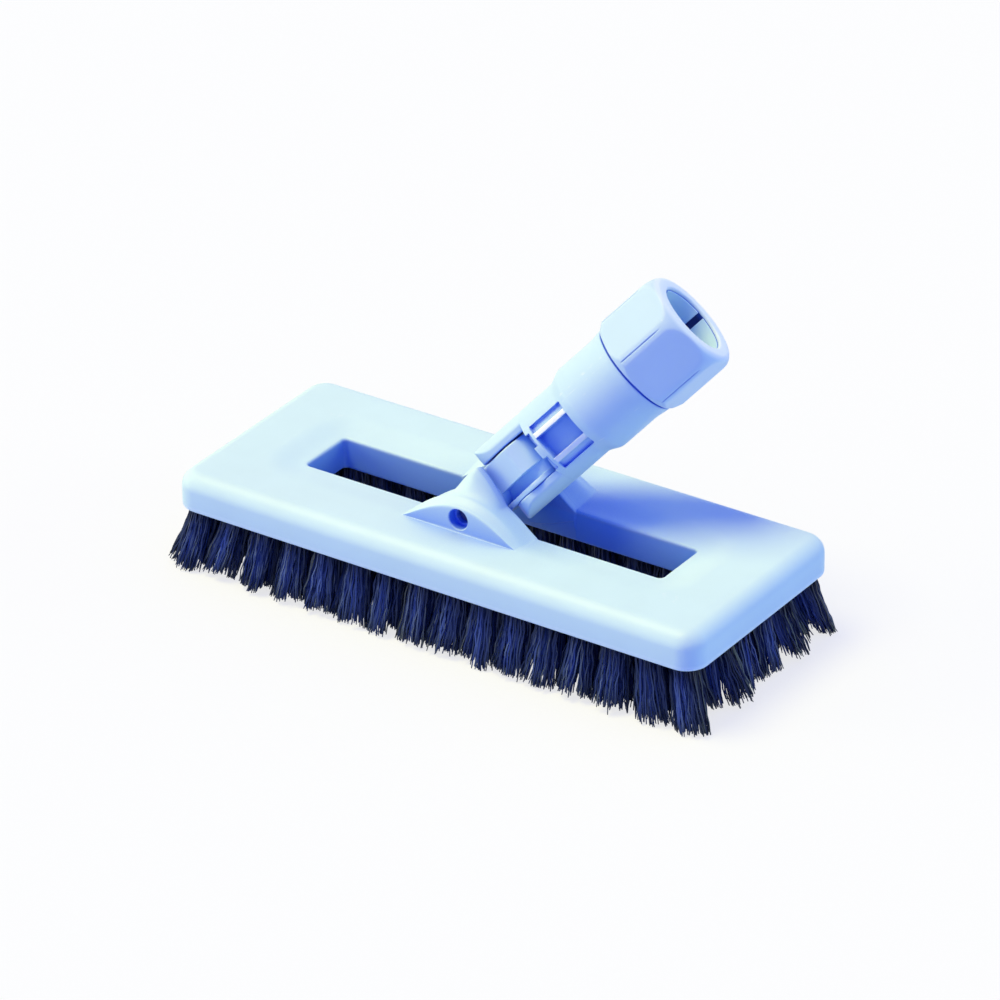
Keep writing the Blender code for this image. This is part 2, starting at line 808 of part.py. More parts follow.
def build():
    """Make every piece, then centre the assembly's box over the origin."""
    root = empty("brush_frame", (0.0, 0.0, 0.0))
    swivel = empty("swivel_axis", (0.0, 0.0, pivot_level), (0.0, swivel_rest, 0.0), root)
    tilt = empty("tilt_axis", (0.0, 0.0, pin_spacing), (-tilt_rest, 0.0, 0.0), swivel)
    turn = empty("collar_axis", (0.0, 0.0, 0.0), (0.0, 0.0, collar_rest), tilt)
    pivot = empty("pivot_pin_seat", (0.0, 0.0, pivot_level), (0.0, 0.0, 0.0), root)

    build_block(root)
    build_bristles(root)
    build_pin("pivot_pin", pivot_pin_radius, hump_front - pivot_pin_recess, "Y", pivot)
    build_knuckle(swivel)
    leg_face = math.sqrt((neck_radius - leg_inset) ** 2 - cross_pin_radius ** 2)
    build_pin("cross_pin", cross_pin_radius, leg_face - cross_pin_recess, "X", tilt)
    build_socket(tilt)
    build_collet(tilt)
    build_collar(turn)

    bpy.context.view_layer.update()
    low, high = box_of(parts.objects)
    root.location = (-(low.x + high.x) / 2, -(low.y + high.y) / 2, -low.z)
    bpy.context.view_layer.update()
    for frame in (swivel, tilt, turn, pivot):
        place = frame.matrix_world.translation
        axis = frame.matrix_world.to_3x3() @ Vector((0.0, 0.0, 1.0))
        across = frame.matrix_world.to_3x3() @ Vector((1.0, 0.0, 0.0))
        print(frame.name, [round(v, 6) for v in place], "up", [round(v, 6) for v in axis],
              "across", [round(v, 6) for v in across])
    print("box", [round(v, 6) for v in high - low], "shift", [round(v, 6) for v in root.location])


build()
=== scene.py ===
# %% [markdown]
# # A floor scrub brush with a two-axis swivel socket
#
# The brush is a moulded block with stiff tufts under it and a socket for a pole
# on top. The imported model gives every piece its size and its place. This script
# dresses it: it works out a smooth surface for each piece, gives it a moulded
# plastic, steel or filament finish, and lights it like a product photograph.
#
# Lengths are in metres, as in the model. `mm` turns a workshop size into metres.

import json
import math

import bpy
import numpy as np
from mathutils import Matrix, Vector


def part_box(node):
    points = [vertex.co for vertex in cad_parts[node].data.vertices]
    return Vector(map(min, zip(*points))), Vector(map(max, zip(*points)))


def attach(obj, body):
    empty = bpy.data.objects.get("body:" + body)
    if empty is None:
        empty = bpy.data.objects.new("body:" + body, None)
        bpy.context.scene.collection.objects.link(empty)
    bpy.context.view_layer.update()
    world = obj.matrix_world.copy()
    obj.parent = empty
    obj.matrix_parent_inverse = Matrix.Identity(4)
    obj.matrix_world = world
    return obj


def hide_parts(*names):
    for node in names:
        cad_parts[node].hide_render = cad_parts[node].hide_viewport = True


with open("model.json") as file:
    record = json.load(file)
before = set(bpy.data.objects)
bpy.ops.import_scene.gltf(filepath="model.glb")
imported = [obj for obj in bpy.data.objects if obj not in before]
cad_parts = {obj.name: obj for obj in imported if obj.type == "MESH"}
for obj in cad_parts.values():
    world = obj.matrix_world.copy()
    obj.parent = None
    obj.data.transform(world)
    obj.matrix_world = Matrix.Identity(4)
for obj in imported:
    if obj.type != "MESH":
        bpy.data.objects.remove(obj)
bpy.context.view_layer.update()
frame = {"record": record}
mm = 0.001


# %% [markdown]
# ## Where things are
#
# The joints of the model say where the two pins lie and which way they point, so
# the dressed pieces land on the same axes. Each moving piece gets a frame of its
# own: a centre and three directions. A shape is then written in workshop
# coordinates and carried to its place in one step.

# %% Frames of the block, the knuckle, the socket and the collar
joints = {joint["name"]: joint for joint in frame["record"]["behaviour"]["joints"]}


def vector(values):
    return np.array(values, dtype=float)


pivot_centre = vector(joints["swivel"]["pos_m"])
fork_centre = vector(joints["tilt"]["pos_m"])
fork_across = vector(joints["tilt"]["axis"])
socket_up = vector(joints["collar_turn"]["axis"])
pin_spacing = np.linalg.norm(fork_centre - pivot_centre)
knuckle_up = (fork_centre - pivot_centre) / pin_spacing
collar_turn = math.radians(-9.5)


def frame_of(centre, x_axis, z_axis):
    """A centre and three directions: x and z are given, y completes them."""
    y_axis = np.cross(z_axis, x_axis)
    return centre, np.stack([x_axis, y_axis, z_axis])


block_low, block_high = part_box("block")
block_middle = (vector(block_low) + vector(block_high)) / 2
block_centre = vector([block_middle[0], block_middle[1], block_low[2]])
block_frame = frame_of(block_centre, vector([1, 0, 0]), vector([0, 0, 1]))
knuckle_frame = frame_of(pivot_centre, fork_across, knuckle_up)
socket_frame = frame_of(fork_centre, fork_across, socket_up)
collar_across = (
    math.cos(collar_turn) * fork_across + math.sin(collar_turn) * np.cross(socket_up, fork_across))
collar_frame = frame_of(fork_centre, collar_across, socket_up)


def carry(points, place):
    """Workshop coordinates times a frame's directions, plus its centre."""
    centre, axes = place
    return np.asarray(points) @ axes + centre


print("pin spacing in mm", round(pin_spacing / mm, 2))
print("underside of the block in mm", round(block_centre[2] / mm, 2))

# %% [markdown]
# ## The camera
#
# The photograph was taken with a long lens from the front, to the right and above.
# The heading, the height and the slight roll were fitted to the outline of the
# block. A long lens keeps the near and far edges almost parallel.

# %% Camera
camera_heading = math.radians(34.43)
camera_height = math.radians(28.84)
camera_roll = math.radians(-0.66)
camera_place = (1.066803, -1.557931, 1.074147)
lens_length = 239.314


def camera_matrix():
    """Level axes from the heading and the height, turned by the roll about the view direction."""
    right = vector([math.cos(camera_heading), math.sin(camera_heading), 0.0])
    forward = vector([
        -math.sin(camera_heading) * math.cos(camera_height),
        math.cos(camera_heading) * math.cos(camera_height),
        -math.sin(camera_height)])
    up = np.cross(right, forward)
    rolled_right = math.cos(camera_roll) * right + math.sin(camera_roll) * up
    rolled_up = -math.sin(camera_roll) * right + math.cos(camera_roll) * up
    placed = Matrix(np.stack([rolled_right, rolled_up, -forward]).T.tolist()).to_4x4()
    placed.translation = camera_place
    return placed


camera_data = bpy.data.cameras.new("camera")
camera_data.lens = lens_length
camera_data.sensor_width = 36.0
camera_data.clip_start = 0.1
camera_data.clip_end = 50.0
camera = bpy.data.objects.new("camera", camera_data)
bpy.context.scene.collection.objects.link(camera)
camera.matrix_world = camera_matrix()
bpy.context.scene.camera = camera
print("camera", [round(value, 3) for value in camera.matrix_world.translation])

# %% [markdown]
# ## Surfaces from arrays
#
# Every shape below is a grid of points: rows along one direction, columns along
# the other. The faces follow from the grid by counting, so one helper can turn
# any grid into a mesh. It also measures the volume and turns the faces over if
# they point inwards.

# %% Grid to mesh
pieces = {}


def grid_faces(rows, columns, rows_closed, columns_closed):
    """Each cell of the grid as four point numbers: row * columns + column."""
    row = np.arange(rows if rows_closed else rows - 1)
    column = np.arange(columns if columns_closed else columns - 1)
    row, column = np.meshgrid(row, column, indexing="ij")
    next_row = (row + 1) % rows
    next_column = (column + 1) % columns
    cells = np.stack([
        row * columns + column, row * columns + next_column,
        next_row * columns + next_column, next_row * columns + column], axis=-1)
    return cells.reshape(-1, 4)


def fan(ring, centre):
    """Triangles from each edge of a closed ring to one centre point."""
    return np.stack([ring, np.roll(ring, -1), np.full(len(ring), centre)], axis=-1)


def volume_of(points, triangles):
    """Sum of the corners' triple products over six: positive if the faces point outwards."""
    a, b, c = (points[triangles[:, i]] for i in range(3))
    return np.einsum("ij,ij->", a, np.cross(b, c)) / 6


def add_piece(name, points, faces, place, body, sharp=40.0):
    """Put points and faces into a mesh, shade it smooth and let it ride on its body."""
    faces = [np.asarray(group) for group in faces]
    triangles = [group[:, [0, 1, 2]] for group in faces]
    triangles += [group[:, [0, 2, 3]] for group in faces if group.shape[1] == 4]
    if volume_of(points, np.concatenate(triangles)) < 0:
        faces = [group[:, ::-1] for group in faces]
    mesh = bpy.data.meshes.new(name)
    listed = [face for group in faces for face in group.tolist()]
    mesh.from_pydata(carry(points, place).tolist(), [], listed)
    mesh.update()
    mesh.shade_smooth()
    mesh.set_sharp_from_angle(angle=math.radians(sharp))
    made = bpy.data.objects.new(name, mesh)
    bpy.context.scene.collection.objects.link(made)
    if body:
        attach(made, body)
        pieces[name] = made
    print(name, "faces", len(mesh.polygons))
    return made


def add_skin(name, grid, place, body=None, wrap_rows=False, caps=True, sharp=40.0):
    """A grid whose columns close on themselves, with its two end rows closed by fans."""
    rows, columns = grid.shape[:2]
    points = grid.reshape(-1, 3)
    faces = [grid_faces(rows, columns, wrap_rows, True)]
    if caps and not wrap_rows:
        ends = np.stack([grid[0].mean(axis=0), grid[-1].mean(axis=0)])
        points = np.concatenate([points, ends])
        count = rows * columns
        faces.append(fan(np.arange(columns)[::-1], count))
        faces.append(fan(np.arange(count - columns, count), count + 1))
    return add_piece(name, points, faces, place, body, sharp)


def cut(target, tool):
    """Take a tool away from a piece and keep the result as the piece's own mesh."""
    step = target.modifiers.new("cut", "BOOLEAN")
    step.operation = "DIFFERENCE"
    step.object = tool
    step.solver = "EXACT"
    evaluated = target.evaluated_get(bpy.context.evaluated_depsgraph_get())
    carved = bpy.data.meshes.new_from_object(evaluated)
    target.modifiers.clear()
    target.data = carved
    bpy.data.objects.remove(tool, do_unlink=True)
    carved.shade_smooth()
    carved.set_sharp_from_angle(angle=math.radians(40))
    print(target.name, "faces after the cut", len(carved.polygons))


# %% [markdown]
# ## Profiles with rounded corners
#
# Moulded parts have no knife edges. A profile is written as a few corners, each
# with its own radius, and the arcs are filled in between them. Turned round an
# axis, the profile becomes a pin, a barrel or a cutter.

# %% Rounded profile
def rounded_profile(corners, steps=6):
    """Replace each corner (across, along, radius) by the arc that touches both sides."""
    corners = np.asarray(corners, dtype=float)
    path = [corners[0, :2]]
    for before, corner, after in zip(corners, corners[1:], corners[2:]):
        radius = corner[2]
        towards = before[:2] - corner[:2]
        onwards = after[:2] - corner[:2]
        towards = towards / np.linalg.norm(towards)
        onwards = onwards / np.linalg.norm(onwards)
        half_angle = math.acos(np.clip(towards @ onwards, -1.0, 1.0)) / 2
        if radius <= 0 or half_angle > math.radians(89.9):
            path.append(corner[:2])
            continue
        middle = (towards + onwards) / np.linalg.norm(towards + onwards)
        centre = corner[:2] + middle * radius / math.sin(half_angle)
        start = corner[:2] + towards * radius / math.tan(half_angle) - centre
        end = corner[:2] + onwards * radius / math.tan(half_angle) - centre
        sweep = math.acos(np.clip(start @ end / radius ** 2, -1.0, 1.0))
        for share in np.linspace(0.0, 1.0, steps):
            before_part = math.sin((1 - share) * sweep) / math.sin(sweep)
            after_part = math.sin(share * sweep) / math.sin(sweep)
            path.append(centre + before_part * start + after_part * end)
    path.append(corners[-1, :2])
    return np.array(path)


square_turn = [(0, 0, 0), (2, 0, 1), (2, 2, 0)]
print("points of a square turn with a round corner", len(rounded_profile(square_turn)))

# %% Turned surface and soft steps
hairline = 0.00001 * mm


def turned(profile, steps=96, along="z"):
    """Turn (radius, height) points: x = r cos a, y = r sin a, the height along the chosen axis.

    A radius of nothing becomes a hairline, so that the pole's faces keep their corners apart.
    """
    angle = np.linspace(0, math.tau, steps, endpoint=False)
    radius = np.maximum(profile[:, 0], hairline)[:, None]
    height = np.broadcast_to(profile[:, 1][:, None], (len(profile), steps))
    side_a = radius * np.cos(angle)
    side_b = radius * np.sin(angle)
    order = {
        "z": (side_a, side_b, height), "y": (side_b, height, side_a),
        "x": (height, side_a, side_b)}
    return np.stack(order[along], axis=-1)


def smooth(value):
    """Rise from 0 to 1 with level ends: 3 t squared minus 2 t cubed."""
    value = np.clip(value, 0.0, 1.0)
    return value * value * (3 - 2 * value)


def band(value, low, high, soft):
    """1 between two limits and 0 outside, with a soft edge centred on each limit."""
    rise = smooth((value - low) / soft + 0.5)
    return rise * smooth((high - value) / soft + 0.5)


print("a soft band from 0 to 1, sampled", band(np.linspace(-0.5, 1.5, 5), 0.0, 1.0, 0.4))

# %% [markdown]
# ## The block
#
# The block is one moulding: a rounded plate with a long window, a shallow dish
# round the window, and two humps that hold the pivot pin. It could be joined from
# separate solids, but the joins would show as creases. Here one grid skins all of
# it. Each row of the grid is a rounded rectangle that runs right round the block.
# The rows start at the outer foot, climb the wall, cross the top, go down through
# the window and come back under the block.

# %% Sizes of the block
block_length = 203.0 * mm
block_width = 83.2 * mm
block_height = 12.9 * mm
block_corner = 8.0 * mm
least_corner = 0.4 * mm
top_round = 5.6 * mm
foot_round = 1.1 * mm
window_length = 138.8 * mm
window_width = 21.9 * mm
window_corner = 1.6 * mm
window_round = 1.0 * mm
dish_width = 13.0 * mm
dish_drop = 1.5 * mm

# Points along the long sides (close together at the humps), past them, round a corner and
# along the short sides.
side_steps = np.concatenate([
    np.linspace(-60, -24, 9, endpoint=False), np.linspace(-24, 24, 121),
    np.linspace(60, 24, 9, endpoint=False)[::-1]]) * mm
end_steps = 5
corner_steps = 12
short_steps = 14


def round_rectangle(length, width, radius):
    """Four straight sides and four quarter circles, with the same count of points for any size."""
    half_x = length / 2 - radius
    half_y = width / 2 - radius
    outer = np.linspace(half_x, side_steps[-1], end_steps + 1)[1:-1]
    xs = np.concatenate([-outer, side_steps, outer[::-1]])
    ys = np.linspace(-half_y, half_y, short_steps + 2)[1:-1]
    angles = np.linspace(0, math.pi / 2, corner_steps + 1)
    sides = [
        np.column_stack([xs[::-1], np.full_like(xs, width / 2)]),
        np.column_stack([np.full_like(ys, -length / 2), ys[::-1]]),
        np.column_stack([xs, np.full_like(xs, -width / 2)])]
    parts = [np.column_stack([np.full_like(ys, length / 2), ys])]
    for quarter, (sign_x, sign_y) in enumerate(((1, 1), (-1, 1), (-1, -1), (1, -1))):
        turn = angles + quarter * math.pi / 2
        centre = np.array([sign_x * half_x, sign_y * half_y])
        parts.append(centre + radius * np.column_stack([np.cos(turn), np.sin(turn)]))
        parts += sides[quarter:quarter + 1]
    return np.concatenate(parts)


def outer_ring(inset):
    """The block's outline, drawn in by an inset."""
    return round_rectangle(
        block_length - 2 * inset, block_width - 2 * inset, max(block_corner - inset, least_corner))


def window_ring(outset):
    """The window's outline, widened by an outset."""
    return round_rectangle(
        window_length + 2 * outset, window_width + 2 * outset, window_corner + outset)


print("points round the block", len(outer_ring(0.0)))

# %% [markdown]
# ### The humps and their ears
#
# A hump is an arch over the pivot pin. Towards the window it swells a little, and
# out of the swelling climbs a thin ear that holds the pin close to the knuckle. All
# of it is height: each function below gives the height that one form adds at a
# point, and the rows of the block's grid carry their sum. The far ear is the near
# one turned half round, so the gentler side of both is where x and y differ in sign.

# %% Heights of the hump and its ear
hump_half_length = 22.1 * mm
hump_rise = 9.3 * mm
hump_power = 1.25
hump_crown = 2.2 * mm
ear_near_length = 10.6 * mm
ear_far_length = 8.4 * mm
ear_rise = 10.5 * mm
ear_peak_ease = 0.02
ear_foot_ease = 0.06
belly_top = 7.7 * mm
belly_depth = 6.0 * mm
hump_bore_height = pivot_centre[2] - block_centre[2]


def arch(x):
    """One minus the square of x over the half length, sharpened a little: the hump's outline."""
    return np.maximum(0.0, 1 - (x / hump_half_length) ** 2) ** hump_power


def smooth_floor(value, soft):
    """Zero below zero, with an eased start: the mean of the value and its rounded size."""
    size = np.sqrt(value ** 2 + soft ** 2)
    return (value + size - soft * np.exp(-np.abs(value) / soft)) / 2


def ear(x, y):
    """A tent with a rounded peak: both sides fall almost straight, one a little steeper."""
    half_length = np.where(x * y < 0, ear_near_length, ear_far_length)
    peak = math.sqrt(ear_peak_ease)
    fall = np.sqrt((x / half_length) ** 2 + ear_peak_ease) - peak
    return smooth_floor(1 - fall / (math.sqrt(1 + ear_peak_ease) - peak), ear_foot_ease)


def crest_rise(ring, share):
    """Hump, crown and a share of the ear: the ear climbs from the crown to its own peak."""
    x, y = ring.T
    crown = hump_crown * arch(x) ** (0.5 + 0.5 * share)
    return hump_rise * arch(x) + crown + (ear_rise - hump_crown) * share * ear(x, y)


def belly(x):
    """Lower edge of the thrust pad: it rises towards the ends of the hump."""
    return belly_top - belly_depth * arch(x)


def dish(outset):
    """Height of the top: it sinks smoothly from the rim of the dish to the window's edge."""
    share = (dish_width - outset) / (dish_width - window_round)
    return block_height - dish_drop * smooth(share)


print("bore height over the underside in mm", round(hump_bore_height / mm, 2))

# %% [markdown]
# ### The rows of the grid
#
# A row is a ring and a height for each of its points. Rows that stand close
# together draw a tight curve, such as the lower edge of the hump's front, and rows
# further apart a flat one. At the window each row is a mixture: along the rails it
# is the rounded lip and the wall, and between the hump's two ends it is the thrust
# pad, which stands a little proud and bears on the knuckle.

# %% Rows from the outer foot to the rim of the dish
dish_margin = 0.6 * mm


def block_rows():
    """Each row is (ring, height): round the foot, up the wall, over the edge and across the top."""
    rows = []
    for angle in np.linspace(0, math.pi / 2, 5):
        inset = foot_round * (1 - math.sin(angle))
        rows.append((outer_ring(inset), foot_round * (1 - math.cos(angle))))
    for height in np.linspace(foot_round, block_height - top_round, 6)[1:-1]:
        rows.append((outer_ring(0.0), height))
    for angle in np.linspace(0, math.pi / 2, 15):
        inset = top_round * (1 - math.cos(angle))
        rows.append((outer_ring(inset), block_height - top_round * (1 - math.sin(angle))))
    start = outer_ring(top_round)
    end = window_ring(dish_width + dish_margin)
    for share in np.linspace(0, 1, 5)[1:]:
        rows.append((start + (end - start) * share, block_height))
    return [(ring, np.full(len(ring), height)) for ring, height in rows]


print("rows from the foot to the dish", len(block_rows()))

# %% Rows up the hump's front and over its top
# Each step is how far the ring stands out past the hump's front in mm, and its share of the rise.
front_steps = (
    (0.30, 0.004), (0.14, 0.02), (0.05, 0.05), (0.02, 0.10), (0.0, 0.22), (-0.01, 0.36),
    (-0.02, 0.50), (-0.03, 0.64), (-0.04, 0.78), (-0.06, 0.87), (-0.12, 0.925), (-0.26, 0.965),
    (-0.46, 0.99), (-0.8, 1.0))
crown_start = 12.0 * mm
crown_end = 9.0 * mm
crown_run = 3.6 * mm
# Each step is the ring's distance from the window in mm, and the share of the ear.
ear_steps = (
    (8.4, 0.0), (7.9, 0.02), (7.4, 0.06), (6.9, 0.12), (6.4, 0.19), (5.9, 0.27), (5.4, 0.36),
    (4.9, 0.46), (4.4, 0.57), (3.9, 0.69), (3.5, 0.79), (3.1, 0.88), (2.7, 0.95), (2.35, 0.99),
    (2.0, 1.0))


def hump_rows():
    """Up the flat front, where the ring hardly moves, over the crown and up the ear's back."""
    rows = []
    for shift, share in front_steps:
        outset = dish_width + shift * mm
        ring = window_ring(outset)
        rows.append((ring, dish(outset) + hump_rise * share * arch(ring[:, 0])))
    for outset in np.linspace(crown_start, crown_end, 5):
        ring = window_ring(outset)
        hump = arch(ring[:, 0])
        crown = hump_crown * smooth((crown_start - outset) / crown_run)
        rows.append((ring, dish(outset) + hump_rise * hump + crown * np.sqrt(hump)))
    for outset, share in ear_steps:
        ring = window_ring(outset * mm)
        rows.append((ring, dish(outset * mm) + crest_rise(ring, share)))
    return rows


print("rows over the hump", len(hump_rows()))

# %% Rows down the window and back under the block
pad_inset = 1.9 * mm
pad_proud = 0.3 * mm
pad_end_ease = 0.8 * mm
pad_corner_gap = 3 * mm
lip_drop = 0.49 * mm
belly_under = 1.2 * mm
window_foot = foot_round + 0.6 * mm
under_steps = (0.35, 0.7, 1.0)


def mixed_row(rail_outset, rail_height, pad_outset, drop, down=0.0):
    """Mix the rail's row and the pad's row by a mask that is 1 between the hump's two ends.

    The pad's height starts a drop under the crest and reaches the belly as down goes to 1.
    """
    rail = window_ring(rail_outset)
    pad = window_ring(pad_outset)
    x, y = rail.T
    top = block_height - dish_drop + crest_rise(rail, 1.0) - drop
    pad_height = top + (belly(x) - top) * min(down, 1.0) - belly_under * max(down - 1.0, 0.0)
    mask = band(x, -hump_half_length, hump_half_length, pad_end_ease)
    mask = mask * (np.abs(y) > (window_width - window_corner) / 2 - pad_corner_gap)
    ring = rail + (pad - rail) * mask[:, None]
    return ring, rail_height + (pad_height - rail_height) * mask


def window_wall_rows():
    """A rounded lip along the rails and over the pads, the walls, and the pads' curved bellies."""
    rows = []
    edge = block_height - dish_drop
    turn = np.linspace(0, math.pi / 2, 9)[1:]
    for angle, share in zip(turn, np.linspace(0, 1, len(turn))):
        outset = window_round * (1 - math.sin(angle))
        height = edge - window_round * (1 - math.cos(angle))
        pad_outset = pad_inset - (pad_inset + pad_proud) * smooth(share)
        rows.append(mixed_row(outset, height, pad_outset, lip_drop * share ** 4))
    for share in np.linspace(0, 1, 17)[1:]:
        height = (edge - window_round) * (1 - share) + window_foot * share
        rows.append(mixed_row(0.0, height, -pad_proud, lip_drop, share))
    for share in under_steps:
        height = window_foot * (1 - share) + foot_round * share
        rows.append(mixed_row(0.0, height, -pad_proud * (1 - share), lip_drop, 1.0 + 0.3 * share))
    return rows


def underside_rows():
    """From the window's lower edge back to the outer foot, flat."""
    rows = []
    for angle in np.linspace(0, math.pi / 2, 9)[1::2]:
        ring = window_ring(foot_round * (1 - math.cos(angle)))
        rows.append((ring, np.full(len(ring), foot_round * (1 - math.sin(angle)))))
    start = window_ring(foot_round)
    end = outer_ring(foot_round)
    for share in np.linspace(0, 1, 8)[:-1]:
        rows.append((start + (end - start) * share, np.zeros(len(start))))
    return rows


# %% The block's skin
def block_grid():
    """Stack all rows: the ring gives x and y, the height gives z."""
    rows = block_rows() + hump_rows() + window_wall_rows() + underside_rows()
    return np.stack([np.column_stack([ring, height]) for ring, height in rows])


block = add_skin(
    "block_moulding", block_grid(), block_frame, "deck", wrap_rows=True)
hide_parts("block")

# %% [markdown]
# ### The bore for the pivot pin
#
# The pin sits at the bottom of a short counterbore in the front of each hump, so
# the photograph shows a dark ring with the pin's end inside it. The grid can't hold
# a hole, so a turned cutter with a chamfered mouth is taken away from the block. It
# makes both ends at once.

# %% Cut the pivot bore
hump_front = window_width / 2 + dish_width
mouth_radius = 3.6 * mm
mouth_depth = 3.2 * mm
mouth_chamfer = 0.3 * mm
bore_radius = 2.75 * mm
past_the_face = 1.0 * mm


def bore_cutter():
    """Chamfer and wide mouth, narrow bore, and the same again at the far end."""
    wide = mouth_radius + mouth_chamfer + past_the_face
    mouth = np.array([
        (0.0, hump_front + past_the_face), (wide, hump_front + past_the_face),
        (mouth_radius, hump_front - mouth_chamfer), (mouth_radius, hump_front - mouth_depth),
        (bore_radius, hump_front - mouth_depth)])
    profile = np.concatenate([mouth, mouth[::-1] * [1, -1]])
    return turned(profile, steps=72, along="y") + vector([0.0, 0.0, hump_bore_height])


cut(block, add_skin("bore_tool", bore_cutter(), block_frame))

# %% [markdown]
# ### Shares painted on a piece
#
# Some colour is painted at a place: painted shade keeps the window's walls dark,
# and a painted highlight makes the lower edge pale. It could be painted in an
# image, but an image needs a map of the surface. Here each point of the mesh gets
# a number between 0 and 1, worked out from where it is, and the finish reads that number.

# %% Paint shade on the block's window and a highlight on its foot
def points_of(piece, place):
    """A piece's points in workshop coordinates: less the frame's centre, times its directions."""
    points = np.empty(len(piece.data.vertices) * 3)
    piece.data.vertices.foreach_get("co", points)
    return (points.reshape(-1, 3) - place[0]) @ place[1].T


def paint_share(piece, name, share):
    """Give every point of a piece a number between 0 and 1 that its finish can read."""
    layer = piece.data.attributes.new(name, "FLOAT", "POINT")
    layer.data.foreach_set("value", np.asarray(share, dtype=np.float32))
    print(piece.name, name, "painted points", int((share > 0.5).sum()))


wall_margin = 0.4 * mm
wall_ease = 0.6 * mm
lip_fade = 2.0 * mm
foot_top = 1.9 * mm
foot_fade = 1.3 * mm


def window_share(points):
    """1 on the walls of the window, where shade is painted, fading out towards its lip."""
    x, y, z = points.T
    half_x = window_length / 2 + wall_margin
    half_y = window_width / 2 + wall_margin
    inside = band(x, -half_x, half_x, wall_ease) * band(y, -half_y, half_y, wall_ease)
    return inside * smooth((block_height - dish_drop - z) / lip_fade)


def foot_share(points):
    """1 on the lowest edge of the outer wall, where a highlight is painted pale, and 0 above it."""
    x, y, z = points.T
    outside = np.maximum(
        smooth((np.abs(x) - block_length / 2 + 9 * mm) / (4 * mm)),
        smooth((np.abs(y) - block_width / 2 + 6 * mm) / (4 * mm)))
    return outside * smooth((foot_top - z) / foot_fade)


block_points = points_of(block, block_frame)
# Painted shade: the window's walls are tinted deep blue.
paint_share(block, "window_share", window_share(block_points))
# Painted highlight: a pale line along the lowest edge of the outer wall.
paint_share(block, "foot_share", foot_share(block_points))

# %% [markdown]
# ## The socket
#
# The socket is one moulding: a fork that straddles the knuckle, a neck with coring
# pockets that keep its wall even, a flare, and a spigot hidden under the collar.
# Between flare and collar is a fine seam. Neck and flare are a turned surface. The
# pockets could be cut out, but pressing them in keeps the mesh clean: where a mask
# says so, a point's y moves to the pocket's flat floor while its x stays, which
# gives upright walls.

# %% Sizes of the socket
neck_radius = 14.15 * mm
fork_floor = 11.5 * mm
shoulder_start = 25.5 * mm
shoulder_end = 31.5 * mm
flare_radius = 16.1 * mm
lip_radius = 16.7 * mm
lip_start = 44.5 * mm
flare_end = 50.6 * mm
seam_radius = 15.9 * mm
seam_end = 51.3 * mm
spigot_radius = 14.2 * mm
spigot_end = 61.7 * mm
pole_radius = 11.9 * mm
bore_floor = 30.0 * mm
neck_edge = 0.5 * mm


def around(values, spread=(-0.2, -0.12, -0.04, 0.04, 0.12, 0.2)):
    """A few samples close to each value, where a wall starts or ends."""
    return (np.asarray(values)[:, None] + np.asarray(spread) * mm).ravel()


def neck_radius_at(z):
    """Neck radius, eased up to the flare, plus a slow swell to the lip."""
    shoulder = smooth((z - shoulder_start) / (shoulder_end - shoulder_start))
    swell = smooth((z - lip_start) / (flare_end - lip_start)) * (lip_radius - flare_radius)
    return neck_radius + (flare_radius - neck_radius) * shoulder + swell


ends_of_neck = np.array([fork_floor, flare_end])
print("radius at the neck and the lip in mm", neck_radius_at(ends_of_neck) / mm)

# %% [markdown]
# ### The pattern on the neck
#
# Each broad face has a pocket between two ribs, a flute beyond each rib, and two
# notches over the fork. The walls between them are all about as thick, so the
# plastic cools evenly in the mould and doesn't sink. The pattern is a sum of masks
# on the turned surface, and the surface gets extra samples where a wall stands.

# %% The pattern of pockets on the neck
pocket_low = 14.2 * mm
pocket_high = 27.4 * mm
pocket_shift = 1.1 * mm
pocket_half = 4.2 * mm
rib_width = 1.9 * mm
flute_low = pocket_half + rib_width
flute_width = 2.4 * mm
notch_inner = 2.3 * mm
notch_outer = 7.1 * mm
notch_high = 13.0 * mm
pocket_face = neck_radius - 5.0 * mm
notch_face = neck_radius - 4.0 * mm
flute_drop = 1.6 * mm
soft_edge = 0.3 * mm
skin_depth = 0.6 * mm


def socket_profile():
    """Bottom edge, outer side, lip, seam, spigot and bore as (radius, height) points."""
    turn = np.linspace(0, math.pi / 2, 5)
    foot = np.column_stack([
        neck_radius - neck_edge + neck_edge * np.sin(turn),
        fork_floor + neck_edge - neck_edge * np.cos(turn)])
    heights = np.sort(np.concatenate([
        np.linspace(fork_floor + neck_edge, flare_end - 0.6 * mm, 70)[1:],
        around([notch_high, pocket_low, pocket_high])]))
    side = np.column_stack([neck_radius_at(heights), heights])
    rest = rounded_profile([
        (lip_radius, flare_end - 0.5 * mm, 0), (lip_radius, flare_end, 0.35 * mm),
        (seam_radius, flare_end, 0), (seam_radius, seam_end, 0), (spigot_radius, seam_end, 0),
        (spigot_radius, spigot_end, 0.4 * mm), (pole_radius, spigot_end, 0.3 * mm),
        (pole_radius, bore_floor, 0.5 * mm), (0, bore_floor, 0)], steps=4)
    centre = np.array([(0.0, fork_floor), (neck_radius * 0.6, fork_floor)])
    return np.concatenate([centre, foot, side, rest])


def neck_angles():
    """Even steps round the neck plus close steps where a pocket wall meets it."""
    walls = np.array([pocket_half, flute_low, flute_low + flute_width, notch_inner, notch_outer])
    near = np.arcsin(around(pocket_shift + np.concatenate([walls, -walls])) / neck_radius)
    even = np.linspace(0, math.tau, 144, endpoint=False)
    return np.unique(np.round(np.concatenate([even, near % math.tau, near + math.pi]), 5))


def off_middle(x, y):
    """Distance from the pattern's middle, which stands a little to the right on either face."""
    return np.abs(-np.sign(y) * x - pocket_shift)


